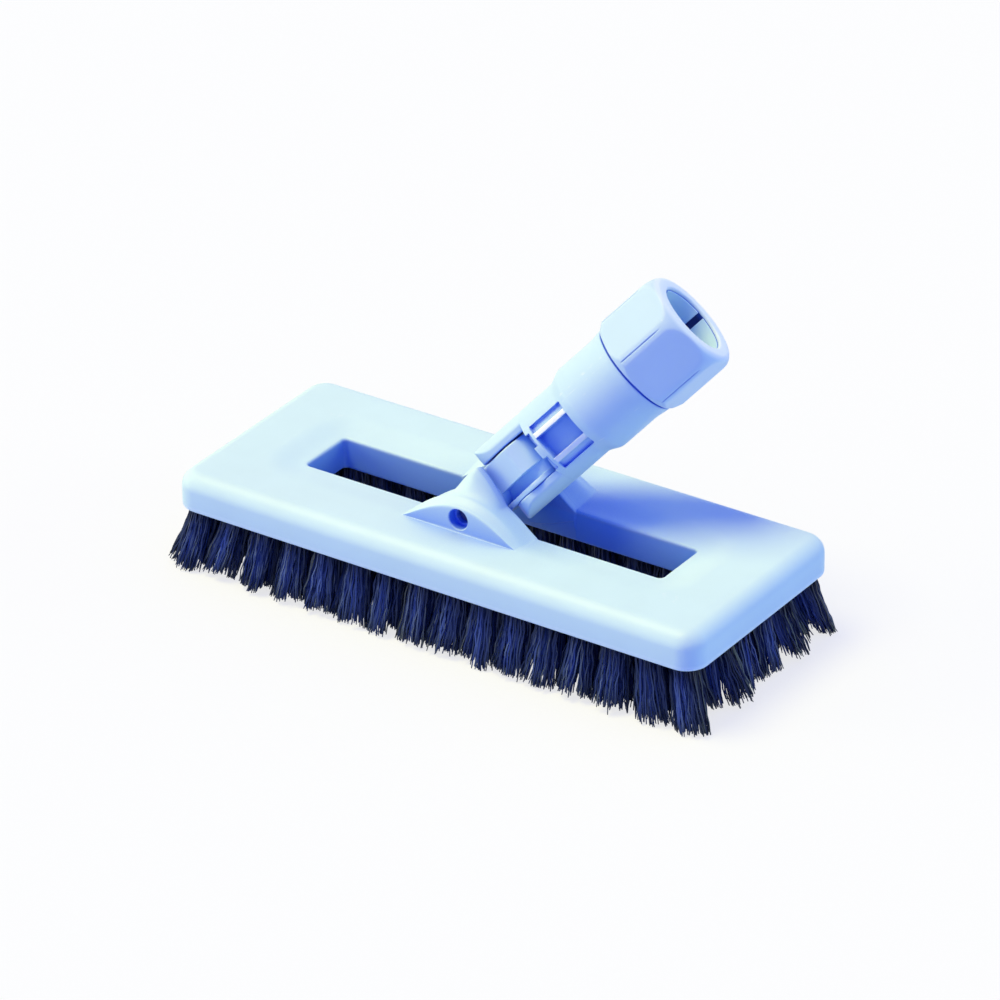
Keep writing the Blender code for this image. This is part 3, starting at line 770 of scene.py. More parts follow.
def socket_grid():
    """x = r sin a and y = -r cos a; inside a pocket or notch, y is drawn to its flat floor."""
    profile = socket_profile()
    angle = neck_angles()
    radius = np.maximum(profile[:, 0], hairline)[:, None]
    z = np.broadcast_to(profile[:, 1][:, None], (len(profile), len(angle)))
    x = radius * np.sin(angle)
    y = -radius * np.cos(angle)
    across = off_middle(x, y)
    outside = (radius > neck_radius - skin_depth) & (z < flare_end)
    along = band(z, pocket_low, pocket_high, soft_edge) * outside
    pocket = band(across, -pocket_half, pocket_half, soft_edge) * along
    flute = band(across, flute_low, flute_low + flute_width, 2 * soft_edge) * along
    notch = band(across, notch_inner, notch_outer, soft_edge) * outside
    notch = notch * smooth((notch_high - z) / soft_edge + 0.5)
    size = np.abs(y)
    size = size + (np.minimum(size, pocket_face) - size) * pocket
    size = size + (np.minimum(size, notch_face) - size) * notch
    size = size - flute_drop * flute
    return np.stack([x, np.sign(y) * size, z], axis=-1)


socket = add_skin(
    "socket_moulding", socket_grid(), socket_frame, "socket_body", sharp=50.0)
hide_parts("socket")


def rib_share(points):
    """1 on the outer face of the ribs beside each pocket, where a highlight is painted pale."""
    x, y, z = points.T
    on_rib = band(off_middle(x, y), pocket_half, flute_low, 0.5 * mm)
    on_rib = on_rib * band(z, pocket_low, pocket_high, 0.6 * mm)
    return on_rib * (np.hypot(x, y) > neck_radius - 0.5 * mm)


# Painted highlight: the ribs' outer faces are painted near white.
paint_share(socket, "rib_share", rib_share(points_of(socket, socket_frame)))

# %% [markdown]
# ### The fork's legs
#
# Each leg is the slice of the neck's cylinder that straddles the knuckle: flat
# inside, round outside, with a round end. Its surface is a stack of rings. Each
# ring is the leg's outline, shrunk a little, and the ring's x goes from the flat
# inner face to the cylinder, with small arcs at both edges. The leg is a hair
# slimmer than the neck, so it clears the humps when the socket leans both ways.

# %% Legs
leg_gap = 8.3 * mm
leg_half_width = 9.0 * mm
leg_radius = neck_radius - 0.08 * mm
leg_top = fork_floor + 1.2 * mm
leg_edge = 0.55 * mm
inner_insets = np.array([8.6, 5.0, 2.0]) * mm
outer_insets = np.array([1.2, 2.4, 3.8, 5.2, 6.6, 7.8, 8.6]) * mm


def leg_outline(inset):
    """Up one side, across the top and down the other, with a half circle below: (y, z) points."""
    half = leg_half_width - inset
    turn = np.linspace(math.pi, math.tau, 33)
    bottom = np.column_stack([half * np.cos(turn), half * np.sin(turn)])
    right = np.column_stack([np.full(8, half), np.linspace(0, leg_top, 9)[1:]])
    left = np.column_stack([np.full(8, -half), np.linspace(leg_top, 0, 9)[:-1]])
    return np.concatenate([bottom, right, left])


def leg_grid(side):
    """Rings from the inner face to the outer face: each is (inset, share of the way, rise)."""
    turn = np.linspace(0, math.pi / 2, 6)
    edge = list(zip(leg_edge * (1 - np.sin(turn)), leg_edge * (1 - np.cos(turn))))
    rows = [(inset, 0.0, 0.0) for inset in inner_insets]
    rows += [(inset, 0.0, rise) for inset, rise in edge]
    rows += [(0.0, share, 0.0) for share in (0.33, 0.66)]
    rows += [(inset, 1.0, -rise) for inset, rise in edge[::-1]]
    rows += [(inset, 1.0, 0.0) for inset in outer_insets]
    rings = []
    for inset, share, rise in rows:
        yz = leg_outline(inset)
        outer = np.sqrt(leg_radius ** 2 - yz[:, 0] ** 2)
        between = 0 < share < 1
        low = leg_gap + leg_edge * between
        high = outer - leg_edge * between
        rings.append(np.column_stack([side * (low + (high - low) * share + rise), yz]))
    return np.stack(rings)


for leg_name, leg_side in (("fork_leg_left", -1), ("fork_leg_right", 1)):
    add_skin(leg_name, leg_grid(leg_side), socket_frame, "socket_body")

# %% [markdown]
# ## The knuckle
#
# The knuckle links the two pins. Its barrel turns on the pivot pin between the
# humps, and its tongue fills the fork. The tongue ends in an arc about the cross
# pin, so it turns close under the fork's floor. Grooves in its two broad faces keep
# the plastic thin. The tongue is its outline swept across; inside a groove, a
# point's y is a fixed share smaller. As in the photograph, the tongue stands a
# little off the middle.

# %% Knuckle
barrel_radius = 8.0 * mm
barrel_half = 10.1 * mm
barrel_edge = 0.6 * mm
tongue_half = 7.95 * mm
tongue_middle = 0.25 * mm
tongue_depth = 8.6 * mm
tongue_end_radius = 11.1 * mm
tongue_edge = 0.5 * mm
groove_start = 2.15 * mm
groove_end = groove_start + 4.0 * mm
groove_share = 0.465


def tongue_outline(inset):
    """Up one side, over an arc about the cross pin and down the other side: (y, z) points."""
    half = tongue_depth - inset
    radius = tongue_end_radius - inset
    start = math.acos(half / radius)
    turn = np.linspace(start, math.pi - start, 41)
    arc = np.column_stack([radius * np.cos(turn), pin_spacing + radius * np.sin(turn)])
    heights = np.linspace(0, pin_spacing + radius * math.sin(start), 17)[:-1]
    rise = np.column_stack([np.full(16, half), heights])
    return np.concatenate([rise, arc, rise[::-1] * [-1, 1]])


def tongue_grid():
    """x across the tongue, with a small arc at both edges; inside a groove, y is smaller."""
    turn = np.linspace(0, math.pi / 2, 6)
    walls = around([-groove_start, -groove_end, groove_start, groove_end])
    even = np.linspace(tongue_edge - tongue_half, tongue_half - tongue_edge, 25)
    flat = np.unique(np.concatenate([even, walls]))
    arc = tongue_half - tongue_edge * (1 - np.sin(turn))
    arc_inset = tongue_edge * (1 - np.cos(turn))
    x = np.concatenate([-arc[::-1], flat[1:-1], arc])
    insets = np.concatenate([arc_inset[::-1], np.zeros(len(flat) - 2), arc_inset])
    rings = np.stack([tongue_outline(inset) for inset in insets])
    y, z = rings[..., 0], rings[..., 1]
    facing = -np.sign(y) * x[:, None]
    y = y * (1 - groove_share * band(facing, groove_start, groove_end, soft_edge))
    return np.stack([np.broadcast_to(x[:, None] + tongue_middle, y.shape), y, z], axis=-1)


tongue = add_skin(
    "knuckle_tongue", tongue_grid(), knuckle_frame, "knuckle_link", sharp=50.0)
barrel_profile = rounded_profile([
    (0, -barrel_half, 0), (barrel_radius, -barrel_half, barrel_edge),
    (barrel_radius, barrel_half, barrel_edge), (0, barrel_half, 0)])
add_skin(
    "knuckle_barrel", turned(barrel_profile, along="y"), knuckle_frame, "knuckle_link")
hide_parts("knuckle")

# %% [markdown]
# ## The clamp collar
#
# The collar is a hexagon that was turned inside and rounded over at its mouth. In
# polar form, its radius is the smaller of two: the rounded hexagon at that angle,
# and the turned envelope at that height. A plain minimum would leave a knife edge,
# so a soft minimum joins them with the small radius that a mould leaves. A fine
# groove runs down each corner, as thin as the parting line of a mould.

# %% Collar
collar_start = 51.4 * mm
collar_end = 76.2 * mm
collar_half_flats = 17.2 * mm
collar_turned_radius = 19.0 * mm
mouth_round = 5.5 * mm
mouth_drop = 3.6 * mm
foot_taper = 2.2 * mm
foot_proud = 0.3 * mm
corner_soft = 0.35 * mm
corner_groove = 0.25 * mm
corner_line_width = 0.22 * mm
corner_line_fade = 1.6 * mm
collar_mouth = 12.3 * mm
collar_lip = 1.2 * mm
collar_room = 15.4 * mm
thread_radius = 14.6 * mm


def hexagon_radius(angle):
    """Distance to the flats: half the width over flats, over the cosine of the angle to one."""
    from_flat = (angle + math.pi / 6) % (math.pi / 3) - math.pi / 6
    return collar_half_flats / np.cos(from_flat)


def envelope_radius(z):
    """Tapered at the foot, straight, then a quarter of an ellipse at the mouth."""
    foot = collar_half_flats + foot_proud
    rise = foot + (collar_turned_radius - foot) * (z - collar_start) / foot_taper
    over = np.clip((z - (collar_end - mouth_round)) / mouth_round, 0.0, 1.0)
    top = collar_turned_radius - mouth_drop * (1 - np.sqrt(1 - over ** 2))
    return np.minimum(np.minimum(rise, collar_turned_radius), top)


def soft_minimum(a, b, soft):
    """Half of the sum less the rounded size of the difference."""
    return (a + b - np.sqrt((a - b) ** 2 + soft ** 2)) / 2


def corner_line(angle, z):
    """1 on a fine line along each corner, from above the foot to the start of the rounding."""
    from_corner = (angle % (math.pi / 3) - math.pi / 6) * collar_turned_radius
    line_top = collar_end - mouth_round - 1.5 * mm
    line = np.exp(-(from_corner / corner_line_width) ** 2)
    return line * band(z, collar_start + foot_taper, line_top, corner_line_fade)


def collar_angles():
    """Even steps, and steps that draw together at each corner, where the fine groove is."""
    corners = (np.arange(6) + 0.5) * math.pi / 3
    close = np.sinh(np.linspace(-3.0, 3.0, 35)) * 0.016
    near = (corners[:, None] + close).ravel() % math.tau
    even = np.linspace(0, math.tau, 216, endpoint=False)
    return np.unique(np.round(np.concatenate([even, near]), 6))


def collar_grid():
    """Outer side from foot to mouth, over the rim, into the bore and down to the foot again."""
    angle = collar_angles()
    round_start = collar_end - mouth_round
    heights = np.concatenate([
        np.linspace(collar_start, collar_start + foot_taper + 0.6 * mm, 10),
        np.linspace(collar_start + foot_taper + 1.2 * mm, round_start - 0.4 * mm, 12),
        round_start + mouth_round * np.sin(np.linspace(0, math.pi / 2, 24))])
    outer = soft_minimum(
        hexagon_radius(angle)[None, :], envelope_radius(heights)[:, None], corner_soft)
    outer = outer - corner_groove * corner_line(angle[None, :], heights[:, None])
    lip_end = collar_end - collar_lip
    inner = rounded_profile([
        (outer[-1].min() - 0.4 * mm, collar_end, 0), (collar_mouth, collar_end, 0.7 * mm),
        (collar_mouth, lip_end, 0.2 * mm), (13.5 * mm, lip_end, 0),
        (collar_room, lip_end - 2.5 * mm, 0), (collar_room, spigot_end + 1.0 * mm, 0),
        (thread_radius, spigot_end, 0), (thread_radius, collar_start, 0)], steps=6)
    bore = np.broadcast_to(inner[:, :1], (len(inner), len(angle)))
    radius = np.concatenate([outer, bore])
    z = np.broadcast_to(np.concatenate([heights, inner[:, 1]])[:, None], radius.shape)
    return np.stack([radius * np.cos(angle), radius * np.sin(angle), z], axis=-1)


collar = add_skin(
    "collar_moulding", collar_grid(), collar_frame, "collar_ring", wrap_rows=True,
    sharp=50.0)
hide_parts("collar")

# %% Paint shade on the collar's corner lines and bore, and a highlight on its rim
rim_depth = 1.4 * mm
dark_start = collar_end - collar_lip - 0.8 * mm
dark_fade = 1.2 * mm
outer_side = 16.5 * mm
bore_side = collar_room + 0.2 * mm
x, y, z = points_of(collar, collar_frame).T
from_axis = np.hypot(x, y)
line = corner_line(np.arctan2(y, x), z) * (from_axis > outer_side)
# Painted shade: a dark blue line along the fine groove at each corner.
paint_share(collar, "line_share", line)
# Painted highlight: the rounded rim of the mouth is painted pale.
paint_share(collar, "rim_share", smooth((z - (collar_end - rim_depth)) / rim_depth))
# Painted shade: the bore deep inside the collar is painted near-black navy.
paint_share(collar, "bore_share", smooth((dark_start - z) / dark_fade) * (from_axis < bore_side))

# %% [markdown]
# ## The collet and the pins
#
# Inside the collar sits a sleeve with four slots. Turning the collar presses its
# fingers on the pole. The slots are cut through a turned ring. Both pins are drawn
# steel, blued against rust, with a small chamfer at both ends.

# %% Collet
collet_foot = 62.0 * mm
collet_top = 74.94 * mm
collet_outer = 13.3 * mm
collet_edge = 0.3 * mm
slot_half = 1.2 * mm
slot_start = collet_foot + 3.0 * mm
slot_reach = 16.0 * mm


def box_grid(low, high):
    """A box as a stack of two square rings, closed by fans."""
    low, high = np.asarray(low), np.asarray(high)
    square = np.array([(0, 0), (1, 0), (1, 1), (0, 1)])
    corners = low[:2] + square * (high - low)[:2]
    return np.stack([np.column_stack([corners, np.full(4, z)]) for z in (low[2], high[2])])


collet_middle = (collet_foot + collet_top) / 2
collet_profile = rounded_profile([
    (pole_radius, collet_middle, 0), (pole_radius, collet_top, collet_edge),
    (collet_outer, collet_top, collet_edge), (collet_outer, collet_foot, 0),
    (pole_radius, collet_foot, 0), (pole_radius, collet_middle - 0.1 * mm, 0)])
collet = add_skin(
    "collet_sleeve", turned(collet_profile), socket_frame, "socket_body",
    wrap_rows=True)
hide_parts("collet")
for half_x, half_y in ((slot_half, slot_reach), (slot_reach, slot_half)):
    tool = box_grid((-half_x, -half_y, slot_start), (half_x, half_y, collet_top + 1.0 * mm))
    cut(collet, add_skin("slot_tool", tool, socket_frame))

# %% Pins
pin_radius = 2.5 * mm
pin_chamfer = 0.5 * mm
pivot_pin_half = hump_front - 4.5 * mm
cross_pin_half = 13.1 * mm


def pin_grid(half_length, along):
    """A rod with a small chamfer at both ends, turned about the chosen axis."""
    face = pin_radius - pin_chamfer
    shoulder = half_length - pin_chamfer
    profile = np.array([
        (0.0, -half_length), (face, -half_length), (pin_radius, -shoulder),
        (pin_radius, shoulder), (face, half_length), (0.0, half_length)])
    return turned(profile, 48, along)


pivot_place = frame_of(pivot_centre, vector([1, 0, 0]), vector([0, 0, 1]))
pivot_pin = add_skin(
    "pivot_pin_rod", pin_grid(pivot_pin_half, "y"), pivot_place, "deck", sharp=30.0)
cross_pin = add_skin(
    "cross_pin_rod", pin_grid(cross_pin_half, "x"), socket_frame, "socket_body",
    sharp=30.0)
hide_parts("pivot_pin")
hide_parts("cross_pin")

# %% [markdown]
# ## The tufts
#
# Each tuft is a bundle of stiff crimped filaments, folded over a staple in its own
# hole. The filaments fan out, lean away from the block near its edges, and end in a
# few ragged clumps. Hair particles could draw them, but they leave no mesh behind.
# Here all filaments of one row are worked out together: a filament is a path of
# points from its root to its tip, and a three-sided tube is wrapped round the path.

# %% Where the tufts stand
tuft_pitch = 12.4 * mm
outer_row = 34.4 * mm
row_offsets = {"inner": 17.2 * mm, "middle": 25.8 * mm, "outer": outer_row}
end_columns = np.array([74.5, 83.75, 93.0]) * mm
end_offset = 6.3 * mm
tuft_rows = {}
for side_name, side in (("front", -1), ("back", 1)):
    for row_name, offset in row_offsets.items():
        count = 15 if row_name == "middle" else 16
        xs = (np.arange(count) - (count - 1) / 2) * tuft_pitch
        row = np.column_stack([xs, np.full(count, side * offset)])
        tuft_rows[f"bristles_{side_name}_{row_name}"] = row
for side_name, side in (("left", -1), ("right", 1)):
    xs, ys = np.meshgrid(side * end_columns, (-end_offset, end_offset), indexing="ij")
    tuft_rows[f"bristles_{side_name}_end"] = np.column_stack([xs.ravel(), ys.ravel()])
print("tufts", sum(len(row) for row in tuft_rows.values()))

# %% How the tips lean
end_lean = 5.2 * mm
end_lean_start = 58 * mm
end_lean_run = 29 * mm
side_lean = 6.0 * mm
side_lean_power = 2.6
corner_ease = 0.25


def lean_of(roots):
    """How far the tips stand outside their roots: nothing in the middle, most at the rim."""
    x, y = roots.T
    along = end_lean * np.sign(x) * smooth((np.abs(x) - end_lean_start) / end_lean_run)
    at_the_ends = smooth(np.abs(x) / end_columns[-1]) ** 6
    across = side_lean * np.sign(y) * (np.abs(y) / outer_row) ** side_lean_power
    return np.column_stack([along, across * (1 - corner_ease * at_the_ends)])


print("lean of a corner tuft in mm", (lean_of(tuft_rows["bristles_front_outer"])[0] / mm).round(1))

# %% [markdown]
# ### The filaments of a tuft
#
# Roots lie evenly in a disc. Each tip is drawn to the nearest of a few clumps, which
# have heights of their own, so the tuft ends ragged, as worn bristles do. The way
# from root to tip bends outwards and carries a small crimp. The numbers are drawn
# from one seeded generator, so the brush is the same each time.

# %% Filaments
tuft_root_radius = 4.9 * mm
tuft_tip_along = 8.0 * mm
tuft_tip_across = 5.3 * mm
tip_size_range = (0.9, 1.1)
hidden_row_fullness = 1.12
filaments_per_tuft = 230
filament_steps = 6
clumps_per_tuft = 8
clump_spread = 0.85
own_pull, clump_pull, stray_pull = 0.62, 0.38, 0.14
clump_height_range = 3.4
tip_height_scatter = 0.7
highest_tip = 5.0 * mm
root_depth = 1.0 * mm
bend_power = 1.25
crimp = 0.30 * mm
crimp_waves = 2.2
chance = np.random.default_rng(7)


def disc(count, groups):
    """Even points in a unit disc: the square root spreads them evenly over the area."""
    radius = np.sqrt(chance.random((groups, count)))
    angle = chance.random((groups, count)) * math.tau
    return np.stack([radius * np.cos(angle), radius * np.sin(angle)], axis=-1)


def tuft_ends(centres, fullness, row_axis):
    """Root disc and wider tip oval; each tip is drawn to the nearest clump of its tuft.

    Also returned is each filament's closeness to the middle of its tuft, measured along the row.
    """
    tufts = len(centres)
    root_spread = disc(filaments_per_tuft, tufts)
    clump_spots = disc(clumps_per_tuft, tufts) * clump_spread
    jitter = disc(filaments_per_tuft, tufts)
    gap = np.linalg.norm(root_spread[:, :, None] - clump_spots[:, None], axis=-1)
    nearest = np.argmin(gap, axis=-1)
    clump = np.take_along_axis(clump_spots, nearest[..., None], axis=1)
    tip_spread = own_pull * root_spread + clump_pull * clump + stray_pull * jitter
    tip_size = np.full(2, tuft_tip_across)
    tip_size[row_axis] = tuft_tip_along
    tip_size = tip_size * chance.uniform(*tip_size_range, (tufts, 1, 1))
    clump_height = chance.uniform(0.0, clump_height_range, (tufts, clumps_per_tuft)) * mm
    tip_height = np.take_along_axis(clump_height, nearest, axis=1)
    tip_height = tip_height + chance.normal(0.0, tip_height_scatter, tip_height.shape) * mm
    tip_height = np.clip(tip_height, 0.0, highest_tip)
    root_flat = centres[:, None] + fullness * tuft_root_radius * root_spread
    root_height = np.full((*root_spread.shape[:2], 1), block_centre[2] + root_depth)
    tip_flat = centres[:, None] + lean_of(centres)[:, None] + fullness ** 2 * tip_size * tip_spread
    root = np.concatenate([root_flat, root_height], axis=-1)
    tip = np.concatenate([tip_flat, tip_height[..., None]], axis=-1)
    middle = 1 - np.abs(root_spread[..., row_axis])
    return root.reshape(-1, 1, 3), tip.reshape(-1, 1, 3), middle.ravel()


def filament_paths(root, tip):
    """From root to tip: x and y follow a power of the way, so the filament bends, plus a crimp."""
    share = np.linspace(0, 1, filament_steps + 1)[:, None]
    flat = root[..., :2] + (tip[..., :2] - root[..., :2]) * share ** bend_power
    height = root[..., 2:] + (tip[..., 2:] - root[..., 2:]) * share
    phase = chance.random((len(root), 1, 2)) * math.tau
    wave = crimp * np.sin(share * math.tau * crimp_waves + phase) * np.minimum(share * 4, 1.0)
    paths = np.concatenate([flat + wave, height], axis=-1)
    paths[..., :2] += block_centre[:2]
    paths[..., 2] = np.maximum(paths[..., 2], 0.0)
    return paths


# %% A tube round each filament
filament_radius = 0.27 * mm
tip_radius = filament_radius * 0.75
least_shade = 0.12
strand_luck = (0.4, 1.25)
shade_span = (0.04, 0.86)
shade_power = 1.5


def filament_tubes(paths):
    """A triangle of points round every path point; the last one is small, like a cut tip."""
    count, steps = paths.shape[:2]
    turn = chance.random((count, 1, 1)) * math.tau + np.arange(3) * math.tau / 3
    size = np.full(steps, filament_radius)
    size[-1] = tip_radius
    offset = np.stack([np.cos(turn), np.sin(turn), np.zeros_like(turn)], axis=-1)
    points = (paths[:, :, None] + offset * size[None, :, None, None]).reshape(-1, 3)
    cells = grid_faces(steps, 3, False, True)
    starts = (np.arange(count) * steps * 3)[:, None]
    quads = (cells[None] + starts[..., None]).reshape(-1, 4)
    roots = np.arange(3)[None] + starts
    tips = (np.arange(3) + (steps - 1) * 3)[None] + starts
    return points, quads, np.concatenate([roots[:, ::-1], tips])


def add_tufts(node, centres):
    """One piece for a row of tufts; the painted light is high in the middle of a tuft, halfway
    down.
    """
    row_axis = 1 if "end" in node else 0
    fullness = 1.0 if "outer" in node or "end" in node else hidden_row_fullness
    root, tip, middle = tuft_ends(centres, fullness, row_axis)
    paths = filament_paths(root, tip)
    points, quads, ends = filament_tubes(paths)
    world_place = (np.zeros(3), np.eye(3))
    made = add_piece(
        node + "_filaments", points, [quads, ends], world_place, "deck",
        sharp=70.0)
    # Painted highlight in the middle of a tuft halfway down, painted shade at its root and tip.
    along = np.sin(math.pi * np.linspace(*shade_span, filament_steps + 1)) ** shade_power
    luck = chance.uniform(*strand_luck, len(paths))
    shade = least_shade + (1 - least_shade) * middle * luck
    paint_share(made, "strand_shade", np.repeat((shade[:, None] * along).ravel(), 3))
    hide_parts(node)


for node, centres in tuft_rows.items():
    add_tufts(node, centres)

# %% [markdown]
# ## Finishes
#
# A finish is a small tree of nodes. The helpers below make one node each, so a
# finish reads like a recipe. Every pattern uses object coordinates: the pieces sit
# at the origin with their place in the mesh, so a pattern moves with its piece.

# %% Node helpers
def new_material(name):
    """A material with its node tree and its surface shader."""
    made = bpy.data.materials.new(name)
    made.use_nodes = True
    return made, made.node_tree, made.node_tree.nodes["Principled BSDF"]


def add_node(tree, kind, **settings):
    """Make a node; a setting that names an input fills it, any other is set on the node."""
    node = tree.nodes.new(kind)
    for key, value in settings.items():
        label = key.replace("_", " ").title()
        if label in node.inputs:
            node.inputs[label].default_value = value
        else:
            setattr(node, key, value)
    return node


def noise(tree, scale, detail=3.0):
    """Noise on object coordinates, so that the pattern stays with the piece."""
    place = add_node(tree, "ShaderNodeTexCoord")
    made = add_node(tree, "ShaderNodeTexNoise", scale=scale, detail=detail, roughness=0.55)
    tree.links.new(place.outputs["Object"], made.inputs["Vector"])
    return made.outputs["Fac"]


def ramp(tree, source, low, high, to_low=0.0, to_high=1.0):
    """Map a value between two stops to another range."""
    made = add_node(
        tree, "ShaderNodeMapRange", from_min=low, from_max=high, to_min=to_low, to_max=to_high)
    tree.links.new(source, made.inputs["Value"])
    return made.outputs["Result"]


def combine(tree, operation, first, second):
    """A math node on a linked value and a second one, linked or plain."""
    made = add_node(tree, "ShaderNodeMath", operation=operation)
    tree.links.new(first, made.inputs[0])
    if isinstance(second, float):
        made.inputs[1].default_value = second
    else:
        tree.links.new(second, made.inputs[1])
    return made.outputs[0]


def mix_colour(tree, share, first, second):
    """Mix two colours, each a value or a link, by a linked share."""
    made = add_node(tree, "ShaderNodeMix", data_type="RGBA")
    tree.links.new(share, made.inputs["Factor"])
    for label, value in (("A", first), ("B", second)):
        target = next(s for s in made.inputs if s.name == label and s.type == "RGBA")
        if isinstance(value, tuple):
            target.default_value = (*value, 1.0)
        else:
            tree.links.new(value, target)
    return next(s for s in made.outputs if s.type == "RGBA")


def set_gloss(tree, shader, source, low, high):
    """Let the roughness wander between two values with a pattern."""
    tree.links.new(ramp(tree, source, 0.0, 1.0, low, high), shader.inputs["Roughness"])


def set_grain(tree, shader, source, strength, depth):
    """Tilt the surface by a fine pattern of the given depth."""
    bump = add_node(tree, "ShaderNodeBump", strength=strength, distance=depth)
    tree.links.new(source, bump.inputs["Height"])
    tree.links.new(bump.outputs["Normal"], shader.inputs["Normal"])


# %% [markdown]
# ### Moulded plastic
#
# The plastic is a pale sky blue. The mould gives it a fine grain, so its highlights
# are soft, and the colour is cloudy by a few percent. In hollows the light bounces
# from blue wall to blue wall and the colour deepens; two nodes for ambient
# occlusion, one with a wide reach and one with a near one, paint that in as shade.
# Small scuffs lighten the edges that rub.

# %% Moulded plastic
def times(colour, share):
    """Two colours multiplied."""
    return tuple(value * part for value, part in zip(colour, share))


def occlusion(tree, reach, low, high):
    """1 in the open and 0 where walls stand within the given reach on most sides."""
    made = add_node(tree, "ShaderNodeAmbientOcclusion", samples=8, distance=reach)
    return ramp(tree, made.outputs["AO"], low, high)


def moulded_plastic(
        name, colour, roughness, wide=30 * mm, wide_shade_colour=(0.12, 0.27, 1.0), near=3 * mm,
        near_shade_colour=(0.10, 0.16, 0.80)):
    """Pale plastic: painted shade in hollows, cloudy, with fine mould grain and scuffed edges."""
    made, tree, shader = new_material(name)
    cloud = ramp(tree, noise(tree, 45.0), 0.3, 0.7)
    body = mix_colour(tree, cloud, times(colour, (0.965,) * 3), colour)
    # Painted shade: where walls stand within the wide or the near reach, the colour turns a deeper
    # blue.
    wide_open = occlusion(tree, wide, 0.30, 0.95)
    body = mix_colour(tree, wide_open, times(colour, wide_shade_colour), body)
    near_open = occlusion(tree, near, 0.10, 0.70)
    body = mix_colour(tree, near_open, times(colour, near_shade_colour), body)
    geometry = add_node(tree, "ShaderNodeNewGeometry")
    edge = ramp(tree, geometry.outputs["Pointiness"], 0.53, 0.62)
    scratch = ramp(tree, noise(tree, 380.0, 4.0), 0.5, 0.75)
    scuff = tuple(0.4 * value + 0.6 * pale for value, pale in zip(colour, (0.86, 0.93, 0.96)))
    body = mix_colour(tree, combine(tree, "MULTIPLY", edge, scratch), body, scuff)
    tree.links.new(body, shader.inputs["Base Color"])
    set_gloss(tree, shader, noise(tree, 120.0, 2.0), roughness - 0.05, roughness + 0.07)
    set_grain(tree, shader, noise(tree, 2600.0, 2.0), 0.10, 0.05 * mm)
    shader.inputs["IOR"].default_value = 1.49
    shader.inputs["Specular IOR Level"].default_value = 0.30
    return made


def paint_over(made, attribute, strength, colour):
    """Mix a material's colour towards another one where a painted share is high."""
    tree = made.node_tree
    base = tree.nodes["Principled BSDF"].inputs["Base Color"]
    painted = add_node(tree, "ShaderNodeAttribute", attribute_name=attribute)
    share = combine(tree, "MULTIPLY", painted.outputs["Fac"], strength)
    tree.links.new(mix_colour(tree, share, base.links[0].from_socket, colour), base)


block_plastic = moulded_plastic("block_plastic", (0.675, 0.88, 0.92), 0.44)
socket_plastic = moulded_plastic(
    "socket_plastic", (0.59, 0.79, 0.93), 0.40, wide=8 * mm, wide_shade_colour=(0.32, 0.50, 1.0))
collar_plastic = moulded_plastic("collar_plastic", (0.60, 0.78, 0.93), 0.40, wide=7 * mm)
knuckle_plastic = moulded_plastic(
    "knuckle_plastic", (0.66, 0.86, 0.97), 0.42, wide=5 * mm, wide_shade_colour=(0.52, 0.68, 1.0),
    near=1.2 * mm, near_shade_colour=(0.35, 0.48, 1.0))
collet_plastic = moulded_plastic(
    "collet_plastic", (0.62, 0.86, 1.0), 0.45, wide=12 * mm, wide_shade_colour=(0.40, 0.58, 1.0),
    near=1.2 * mm)
print("plastics", [made.name for made in bpy.data.materials if "plastic" in made.name])

# %% [markdown]
# ### Painted places
# The painted numbers become colour here. The window's walls and the collar's bore
# get painted shade in deep blue, as if little light got in. The lower edge of the
# block, the ribs of the neck and the rim of the collar get painted highlights.
# Painted shade darkens the fine groove along each corner of the collar.

# %% Paint over the plastics
# Painted shade and painted highlights: each share mixes a plastic's colour towards a darker or a
# paler one.
for plastic, attribute, strength, colour in (
        (block_plastic, "window_share", 0.80, (0.22, 0.46, 1.0)),
        (block_plastic, "foot_share", 0.85, (0.86, 1.0, 1.0)),
        (socket_plastic, "rib_share", 0.95, (0.97, 0.98, 0.99)),
        (collar_plastic, "line_share", 0.75, (0.20, 0.32, 0.66)),
        (collar_plastic, "rim_share", 0.80, (0.92, 1.0, 1.0)),
        (collar_plastic, "bore_share", 0.90, (0.10, 0.11, 0.32))):
    paint_over(plastic, attribute, strength, colour)

# %% [markdown]
# ### Steel and filaments
#
# Both pins are drawn steel, blued against rust: a dark metal whose gloss wanders
# with its tarnish. The filaments are near-black navy. Deep between them hardly any
# light gets in, so each strand carries painted light and shade: a painted highlight
# in the middle of its tuft and halfway down, painted shade at its root and its cut tip.

# %% Blued steel and filaments
def blued_steel(name):
    """Dark blue metal with a little tarnish and fine grain."""
    made, tree, shader = new_material(name)
    tarnish = noise(tree, 300.0)
    share = ramp(tree, tarnish, 0.35, 0.7)
    body = mix_colour(tree, share, (0.04, 0.05, 0.17), (0.13, 0.15, 0.34))
    tree.links.new(body, shader.inputs["Base Color"])
    shader.inputs["Metallic"].default_value = 1.0
    set_gloss(tree, shader, tarnish, 0.28, 0.48)
    set_grain(tree, shader, noise(tree, 1800.0), 0.15, 0.02 * mm)
    return made


def filament_finish(name):
    """Near-black navy, lighter where the strand's painted light is high, with fine streaks in its
    gloss.
    """
    made, tree, shader = new_material(name)
    shade = add_node(tree, "ShaderNodeAttribute", attribute_name="strand_shade")
    body = mix_colour(tree, shade.outputs["Fac"], (0.004, 0.006, 0.014), (0.066, 0.108, 0.320))
    tree.links.new(body, shader.inputs["Base Color"])
    shader.inputs["Specular IOR Level"].default_value = 0.35
    shader.inputs["Specular Tint"].default_value = (0.55, 0.68, 1.0, 1.0)
    streak = noise(tree, 900.0)
    set_gloss(tree, shader, streak, 0.30, 0.50)
    set_grain(tree, shader, streak, 0.2, 0.02 * mm)
    return made


